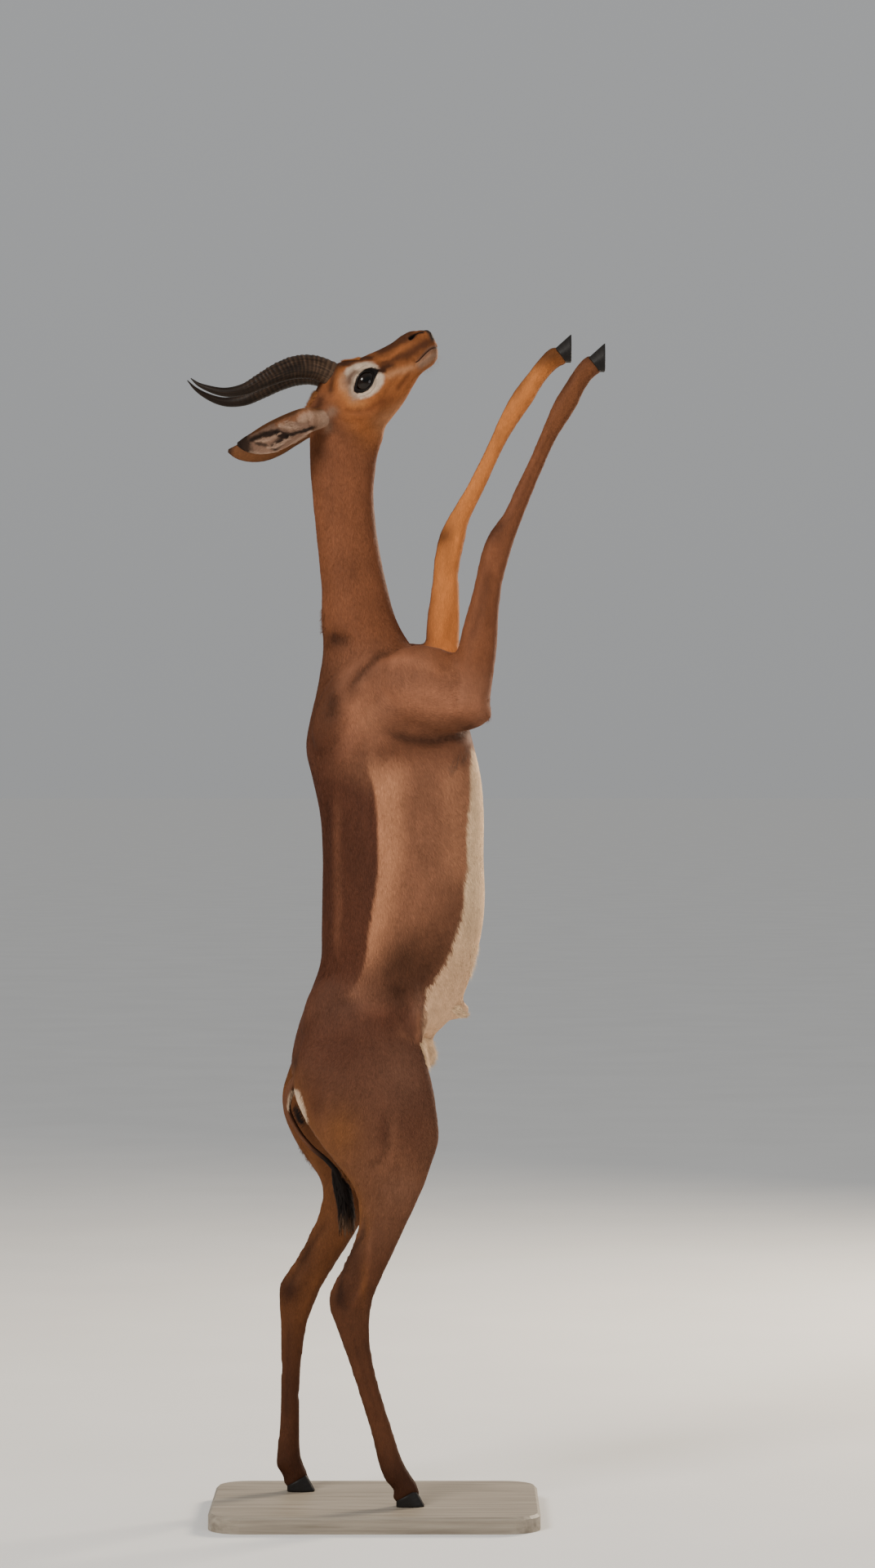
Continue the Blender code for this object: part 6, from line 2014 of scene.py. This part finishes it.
@dataclass
class Eye:
    """One eyeball with its dark lid rim and upper lashes."""

    side: Side
    surface: Surface
    unwrap: Unwrap

    def build(self) -> list:
        """Make the eyeball, the lid rim and the lashes.

        Returns:
            The three objects.
        """
        return [self._ball(), self._rim(), self._lashes()]

    def _centre(self) -> np.ndarray:
        """The eye's middle in the head's frame."""
        return np.array(EYE_PLACE) * np.array([1, self.side.value, 1])

    def _ball(self) -> bpy.types.Object:
        """The eyeball, with its looking direction stored for the iris."""
        bpy.ops.object.select_all(action="DESELECT")
        bpy.ops.mesh.primitive_uv_sphere_add(segments=64, ring_count=32, radius=EYE_RADIUS / MM)
        ball = bpy.context.active_object
        ball.name = f"eyeball_{self.side.word}"
        ball.data.name = ball.name
        raw = points_of(ball)
        turned = np.column_stack([raw[:, 0], raw[:, 2] * self.side.value, raw[:, 1]])
        look = np.array([0.18, self.side.value, 0.02])
        look = look / np.linalg.norm(look)
        out = unit(turned)
        facing = out @ look
        bulge = 1 + 0.030 * smoothstep(facing, 0.80, 0.97)
        wide = np.array([EYE_WIDE * MM / EYE_RADIUS, 1.0, EYE_WIDE * MM / EYE_RADIUS])
        set_points(ball, in_head(turned * wide * bulge[:, None] + self._centre()))
        wide = np.abs(out @ np.array([look[1], -look[0], 0]))
        high = np.abs(out[:, 2] - look[2])
        polar = np.sqrt((wide * 0.62) ** 2 + (high * 1.25) ** 2)
        plain = np.arccos(np.clip(facing, -1, 1)) / (math.pi / 2)
        iris = np.where(facing > 0, np.maximum(np.minimum(polar * 1.3, 0.36), (plain - 0.1) * 1.1), 1.0)
        layer = ball.data.attributes.new("iris", "FLOAT", "POINT")
        layer.data.foreach_set("value", iris)
        bm = bmesh.new()
        bm.from_mesh(ball.data)
        bmesh.ops.recalc_face_normals(bm, faces=bm.faces)
        bm.to_mesh(ball.data)
        bm.free()
        ball.data.shade_smooth()
        return ball

    def _line(self, count: int) -> tuple[np.ndarray, np.ndarray, np.ndarray]:
        """The lid margin in the head's frame from the eye's middle, drawn out at its corners.

        Args:
            count: How many places it has.

        Returns:
            The places, the ways outward there and how near each is to a corner.
        """
        angles = 2 * math.pi * np.arange(count) / count
        flat = almond(angles, 0.8)
        turn = np.minimum(angles, 2 * math.pi - angles)
        front = np.exp(-((turn / 0.32) ** 2))
        rear = np.exp(-(((math.pi - turn) / 0.30) ** 2))
        flat += front[:, None] * np.array([6.0, 1.0]) + rear[:, None] * np.array([-3.0, -0.8])
        reach = np.linalg.norm(flat, axis=1) / EYE_WIDE
        on_ball = reach < 0.97
        lateral = (EYE_RADIUS / MM + 0.4) * np.sqrt(np.maximum(1 - reach**2, 0.01))
        centre = self._centre()
        way = Vector(HEAD_TURN @ np.array([0, -self.side.value, 0]))
        for k, place in enumerate(flat):
            start = in_head(centre + np.array([place[0], self.side.value * 60.0, place[1]]))
            hit = self.surface.tree.ray_cast(Vector(start), way)[0]
            if hit is not None:
                skin = (to_head(np.array([hit]))[0, 1] - centre[1]) * self.side.value
                lateral[k] = max(skin - 0.1, lateral[k] + 0.1) if on_ball[k] else skin - 0.1
        for _ in range(6):
            lateral = (np.roll(lateral, 1) + 2 * lateral + np.roll(lateral, -1)) / 4
        centres = np.column_stack([flat[:, 0], lateral, flat[:, 1]])
        return centres, unit(centres), np.maximum(front, rear)

    def _rim(self) -> bpy.types.Object:
        """The dark lid rim that hugs the eyeball, drawn out at the corners."""
        count, sides = 96, 10
        centres, outward, corner = self._line(count)
        tangents = unit(np.roll(centres, -1, axis=0) - np.roll(centres, 1, axis=0))
        across = unit(np.cross(tangents, outward))
        points = []
        for n in range(sides):
            turn = 2 * math.pi * n / sides
            wide = (1.35 - 0.5 * corner)[:, None] * math.cos(turn)
            points.append(centres + across * wide + outward * (0.85 * math.sin(turn)))
        points = np.stack(points, axis=1).reshape(-1, 3)
        points[:, 1] *= self.side.value
        faces = []
        for k in range(count):
            for n in range(sides):
                m = (n + 1) % sides
                low, high = k * sides, ((k + 1) % count) * sides
                faces.append((low + n, low + m, high + m, high + n))
        return make_object(f"lid_rim_{self.side.word}", in_head(points + self._centre()), faces)

    def _lashes(self) -> bpy.types.Object:
        """The dark lashes of the upper lid, swept out and back."""
        draw = np.random.default_rng(51 + self.side.value)
        centres, outward, _ = self._line(240)
        picked = 10 + np.sort(draw.choice(95, 80, replace=False))
        root = centres[picked] + np.array([0, 0.4, 0.6])
        out = outward[picked] * 0.5 + np.array([-0.35, 0.55, 0.45]) + draw.normal(scale=0.10, size=(80, 3))
        way = np.array([1, self.side.value, 1])
        start = in_head(root * way + self._centre())
        lie = unit((out * way) @ HEAD_TURN.T)
        normal = unit((outward[picked] * way) @ HEAD_TURN.T)
        length = (4.0 + 2.0 * draw.random(80)) * MM
        stations = np.array([0.0, 0.5, 1.0])
        bend = (np.array([-0.3, 0, 0.6]) @ HEAD_TURN.T)[None, None] * (length[:, None] * stations**2 * 0.3)[:, :, None]
        line = start[:, None] + lie[:, None] * (length[:, None] * stations)[:, :, None] + bend
        half = np.full((80, 1), 0.00022) * np.array([1.0, 0.7])
        colours = np.tile(np.array(LID_BLACK), (80, 1))
        parts = np.full(80, Part.HEAD.value)
        places = self.unwrap.places(start, parts)
        return Blades(f"lashes_{self.side.word}", line, half, normal, colours, places, thickness=0.9).build()


@dataclass
class Horn:
    """One horn with uneven rings that fade into a smooth tip."""

    side: Side
    rings: int = 26
    ringed_share: float = 0.70
    ridge: float = 0.95
    sides: int = 28

    def build(self) -> bpy.types.Object:
        """Loft the horn.

        Returns:
            The new object.
        """
        draw = np.random.default_rng(71 + self.side.value)
        crests = np.cumsum(0.8 + 0.4 * draw.random(self.rings) * np.linspace(1, 1.4, self.rings))
        crests = crests / crests[-1] * self.ringed_share
        shares = [0.0]
        heights = [0.0]
        for k, crest in enumerate(crests):
            start = shares[-1]
            fade = min(1.0, (self.rings - k) / 7.0) * (0.75 + 0.5 * draw.random())
            for part, high in ((0.30, 0.35), (0.55, 0.95), (0.75, 1.0), (0.92, 0.25), (1.0, 0.0)):
                shares.append(start + (crest - start) * part)
                heights.append(high * fade)
        smooth = np.linspace(self.ringed_share, 1.0, 30)[1:]
        shares = np.array(shares + list(smooth))
        heights = np.array(heights + [0.0] * len(smooth))
        tube = Tube(read_path(horn_path(self.side), shares), self.side.value)
        angles = 2 * math.pi * np.arange(self.sides) / self.sides
        front = 0.45 + 0.55 * (0.5 - 0.5 * np.cos(angles))
        points = []
        crest = []
        grain = []
        for k, row in enumerate(tube.rows):
            wave = 1 + 0.25 * np.sin(3 * angles + k * 0.7)
            swell = self.ridge * heights[k] * front * wave * min(1.0, row[3] / 14)
            deep = (row[3] - 0.4 + swell) * np.cos(angles)
            wide = (row[4] - 0.4 + swell) * np.sin(angles)
            points.append(tube.ring(k, deep, wide))
            # Painted highlight on each ring's crest, and paler towards the base.
            crest.append(heights[k] * front + 1.3 * math.exp(-((shares[k] / 0.20) ** 2)))
            grain.append(np.column_stack([angles / (2 * math.pi), np.full(self.sides, shares[k])]))
        points = in_head(np.concatenate(points))
        horn = make_object(
            f"horn_{self.side.word}_ringed", points, tube_faces(len(tube.rows), self.sides)
        )
        layer = horn.data.attributes.new("crest", "FLOAT", "POINT")
        layer.data.foreach_set("value", np.concatenate(crest))
        add_grain(horn, np.concatenate(grain))
        return horn


def add_grain(obj: bpy.types.Object, grain: np.ndarray) -> None:
    """Give a mesh a map that runs round and along it, without a jump at its seam.

    Args:
        obj: The mesh object.
        grain: The share round and the share along for each point.
    """
    mesh = obj.data
    layer = mesh.uv_layers.new(name="grain")
    loops = np.empty(len(mesh.loops), dtype=np.int64)
    mesh.loops.foreach_get("vertex_index", loops)
    uvs = grain[loops]
    for polygon in mesh.polygons:
        span = slice(polygon.loop_start, polygon.loop_start + polygon.loop_total)
        if polygon.loop_total == 4 and np.ptp(uvs[span, 0]) > 0.5:
            uvs[span, 0] = np.where(uvs[span, 0] < 0.5, uvs[span, 0] + 1, uvs[span, 0])
    layer.data.foreach_set("uv", uvs.ravel())


CLAW_LENGTH = 0.052
CLAW_HALF_WIDTH = 0.0095
CLAW_CLEFT = 0.0022
CLAW_TOE_HEIGHT = 0.029
CLAW_HEEL_HEIGHT = 0.011


@dataclass
class Claw:
    """One claw of a cloven hoof, as in the solids but with rounder walls."""

    foot: str
    turn: int

    def build(self) -> bpy.types.Object:
        """Loft the claw from its sole to its hairline.

        Returns:
            The new object, named for the node that it stands for.
        """
        toe, forward, up, toe_slope = FEET[self.foot]
        toe, forward, up = np.array(toe), np.array(forward, float), np.array(up, float)
        across = np.cross(up, forward)
        heights = (0.0, 0.04, 0.12, 0.30, 0.50, 0.70, 0.88, 1.0, 1.04)
        draws = (0.90, 0.97, 1.0, 1.0, 1.0, 1.0, 1.0, 1.0, 0.90)
        sides = 28
        angles = 2 * math.pi * np.arange(sides) / sides
        run, bulge = np.cos(angles), np.sin(angles)
        points = []
        grain = []
        for height, draw in zip(heights, draws):
            slope = height * CLAW_TOE_HEIGHT * toe_slope
            half_length = (CLAW_LENGTH / 2 - slope / 2) * (1 - (1 - draw) * 0.5)
            middle = -CLAW_LENGTH / 2 - slope / 2
            narrow = 1 - 0.42 * np.maximum(0.0, run) ** 2
            half = CLAW_HALF_WIDTH * np.where(bulge > 0, 1.05, 0.80) * narrow * (1 - 0.14 * height) * draw
            along = middle + half_length * run
            out = CLAW_HALF_WIDTH * 0.80 + CLAW_CLEFT / 2 - 0.0020 * np.maximum(0.0, run) + bulge * half
            rise = CLAW_HEEL_HEIGHT + (CLAW_TOE_HEIGHT - CLAW_HEEL_HEIGHT) * (0.5 + 0.5 * run)
            ring = toe + along[:, None] * forward + (height * rise)[:, None] * up
            points.append(ring + (self.turn * out)[:, None] * across)
            grain.append(np.column_stack([angles / (2 * math.pi), np.full(sides, height)]))
        name = f"claw_{self.foot}_{self._place()}"
        claw = make_object(name, np.concatenate(points), tube_faces(len(heights), sides))
        add_grain(claw, np.concatenate(grain))
        return claw

    def _place(self) -> str:
        """Whether the claw is the foot's inner or outer one."""
        toe, forward, up, _ = FEET[self.foot]
        across = Vector(up).cross(Vector(forward)) * self.turn
        return "inner" if across.y * toe[1] < 0 else "outer"

    def node(self) -> str:
        """The name of the solid that the claw stands for."""
        return f"hoof_{self.foot}_{self._place()}"


# Tail tuft


@dataclass
class TailTuft:
    """The black tuft: many fine locks round the end of the tail."""

    unwrap: Unwrap
    locks: int = 900
    seed: int = 23

    def build(self) -> bpy.types.Object:
        """Grow the tuft.

        Returns:
            The new object.
        """
        draw = np.random.default_rng(self.seed)
        shares = 0.69 + 0.28 * draw.random(self.locks) ** 0.8
        rows = read_path(TAIL_PATH, shares)
        ahead = read_path(TAIL_PATH, np.minimum(shares + 0.02, 1.0))
        centre = rows[:, [0, 2, 1]] * MM
        tangent = unit(ahead[:, [0, 2, 1]] * MM - centre + np.array([0, 0, -1e-6]))
        across = unit(np.array([0.0, 1.0, 0.0]) - tangent * tangent[:, 1:2])
        deep = np.cross(tangent, across)
        turn = 2 * math.pi * draw.random(self.locks)
        outward = across * np.sin(turn)[:, None] + deep * np.cos(turn)[:, None]
        root = centre + outward * (rows[:, 3:4] * MM * 0.5)
        fall = unit(tangent * 0.5 + np.array([0.03, 0, -0.6]) + outward * 0.22)
        length = 0.034 + 0.022 * draw.random(self.locks)
        bow = (0.003 + 0.004 * draw.random(self.locks))[:, None]
        stations = np.array([0.0, 0.3, 0.6, 0.85, 1.0])
        centres = root[:, None, :] + fall[:, None, :] * (length[:, None] * stations)[:, :, None]
        centres += (outward * bow)[:, None, :] * np.sin(np.pi * stations * 0.8)[None, :, None]
        centres += draw.normal(scale=0.0012, size=centres.shape) * stations[None, :, None]
        width = (0.0008 + 0.0010 * draw.random(self.locks))[:, None]
        half = width * np.array([0.9, 1.0, 0.8, 0.5])
        colours = np.tile(np.array(BLACK_HAIR), (self.locks, 1))
        late = smoothstep(shares, 0.86, 0.96)[:, None]
        colours = colours * (1 - late) + np.array((0.075, 0.040, 0.022)) * late
        parts = np.full(self.locks, Part.TAIL.value)
        places = self.unwrap.places(root, parts)
        return Blades("tail_tuft", centres, half, outward, colours, places).build()


# Studio


@dataclass
class Studio:
    """Pale floor, soft lights and the camera at the photo's viewing angle."""

    def build(self) -> None:
        """Set the stage."""
        self._floor()
        self._lights()
        self._camera()

    def _floor(self) -> None:
        """A pale floor out to the horizon."""
        bpy.ops.object.select_all(action="DESELECT")
        bpy.ops.mesh.primitive_circle_add(vertices=128, radius=400.0, fill_type="NGON")
        floor = bpy.context.active_object
        floor.name = "studio_floor"
        tree = Tree("studio_paper", 1.0, 0.0)
        noise = tree.noise(tree.place((1.0, 1.0, 1.0)), 2.0, 2.0)
        tree.ramp(noise, "Fac", ((0.3, (0.76, 0.75, 0.73)), (0.7, (0.79, 0.78, 0.76))))
        floor.data.materials.append(tree.material)
        floor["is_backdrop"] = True

    def _lights(self) -> None:
        """A soft key from the left front, a fill, and a warm light behind the animal's front."""
        target = Vector((0.05, 0.0, 1.3))
        for name, place, size, power, colour in (
            ("key", (-3.0, -4.4, 4.4), 2.2, 330.0, (1.0, 0.96, 0.90)),
            ("fill", (4.2, -4.0, 2.0), 3.0, 60.0, (0.96, 0.97, 1.0)),
            ("rim", (3.4, 3.6, 3.0), 1.6, 420.0, (1.0, 0.86, 0.68)),
        ):
            light = bpy.data.lights.new(name, "AREA")
            light.shape = "DISK"
            light.size = size
            light.energy = power
            light.color = colour
            lamp = bpy.data.objects.new(name, light)
            lamp.location = place
            lamp.rotation_euler = (target - Vector(place)).to_track_quat("-Z", "Y").to_euler()
            bpy.context.scene.collection.objects.link(lamp)
        self._sky()

    def _sky(self) -> None:
        """An even pale surround, a little darker towards the horizon."""
        world = bpy.data.worlds.new("studio")
        world.use_nodes = True
        nodes, links = world.node_tree.nodes, world.node_tree.links
        place = nodes.new("ShaderNodeTexCoord")
        split = nodes.new("ShaderNodeSeparateXYZ")
        rise = nodes.new("ShaderNodeMapRange")
        rise.inputs["From Max"].default_value = 0.7
        rise.inputs["To Min"].default_value = 0.36
        rise.inputs["To Max"].default_value = 0.50
        links.new(place.outputs["Generated"], split.inputs["Vector"])
        links.new(split.outputs["Z"], rise.inputs["Value"])
        back = nodes["Background"]
        back.inputs["Color"].default_value = (0.97, 0.985, 1.0, 1.0)
        links.new(rise.outputs["Result"], back.inputs["Strength"])
        bpy.context.scene.world = world

    def _camera(self) -> None:
        """The camera, level and square to the animal's right side."""
        data = bpy.data.cameras.new("photo_view")
        data.sensor_fit = "VERTICAL"
        data.sensor_height = 36.0
        data.lens = 36.0 * VIEW_DISTANCE / VIEW_HEIGHT
        data.clip_end = 900.0
        camera = bpy.data.objects.new("photo_view", data)
        camera.location = VIEW_MIDDLE + Vector((0.0, -VIEW_DISTANCE, 0.0))
        camera.rotation_euler = (math.radians(90), 0.0, 0.0)
        bpy.context.scene.collection.objects.link(camera)
        bpy.context.scene.camera = camera


def finish_piece(obj: bpy.types.Object, material: bpy.types.Material, slot: str, *nodes: str) -> None:
    """Dress a piece, ride it on the body and hide the solids that it stands for.

    Args:
        obj: The piece.
        material: Its material.
        slot: A material slot's name; it is not used.
        *nodes: The solids that it replaces.
    """
    obj.data.materials.clear()
    obj.data.materials.append(material)
    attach(obj, BODY)
    if nodes:
        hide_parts(*nodes)
    LOG.info("finished %s", obj.name)


def paint(obj: bpy.types.Object, markings: Markings, anatomy: Anatomy) -> None:
    """Paint a mesh's points with the coat's markings and its painted shade and light."""
    points = points_of(obj)
    parts = anatomy.part_at(points)
    colours = markings.colours(points, normals_of(obj), parts)
    layer = obj.data.color_attributes.new("coat", "FLOAT_COLOR", "POINT")
    layer.data.foreach_set("color", np.column_stack([colours * 0.86, np.ones(len(points))]).ravel())


def main() -> None:
    """Build the pieces in order."""
    logging.basicConfig(level=logging.INFO, format="%(message)s")
    anatomy = Anatomy()
    markings = Markings(anatomy)
    unwrap = Unwrap()
    hide = CoatFinish("hide", bump=0.5).material()
    hair = CoatFinish("hair", bump=0.15).material()
    skin = Skin(anatomy).build()
    surface = Surface(skin)
    coat = Coat(surface, anatomy, markings, Lie(), unwrap).build()
    paint(skin, markings, anatomy)
    finish_piece(skin, hide, "coat", *NODE_PARTS)
    for piece in coat + LongHair(surface, anatomy, markings, unwrap).build():
        finish_piece(piece, hair, "coat")
    finish_piece(TailTuft(unwrap).build(), hair, "black_hair", "tail")
    eye_finish = EyeFinish().material()
    lid_finish = CellFinish().material()
    horn_finish = HornFinish().material()
    hoof_finish = HOOF_FINISH.material()
    for side in Side:
        ball, rim, lashes = Eye(side, surface, unwrap).build()
        finish_piece(ball, eye_finish, "eye", f"eye_{side.word}")
        finish_piece(rim, lid_finish, "coat")
        finish_piece(lashes, hair, "coat")
        finish_piece(Horn(side).build(), horn_finish, "horn", f"horn_{side.word}")
    for foot in FEET:
        for turn in (-1, 1):
            claw = Claw(foot, turn)
            finish_piece(claw.build(), hoof_finish, "hoof", claw.node())
    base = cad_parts["stand_base"]
    base.data.materials.clear()
    base.data.materials.append(BOARD_FINISH.material())
    Studio().build()
    boxes = {"cad": CAD_BOX, "visual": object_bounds()}
    {k: [[float(c) for c in corner] for corner in box] for k, box in boxes.items()}


if __name__ == "__main__":
    main()
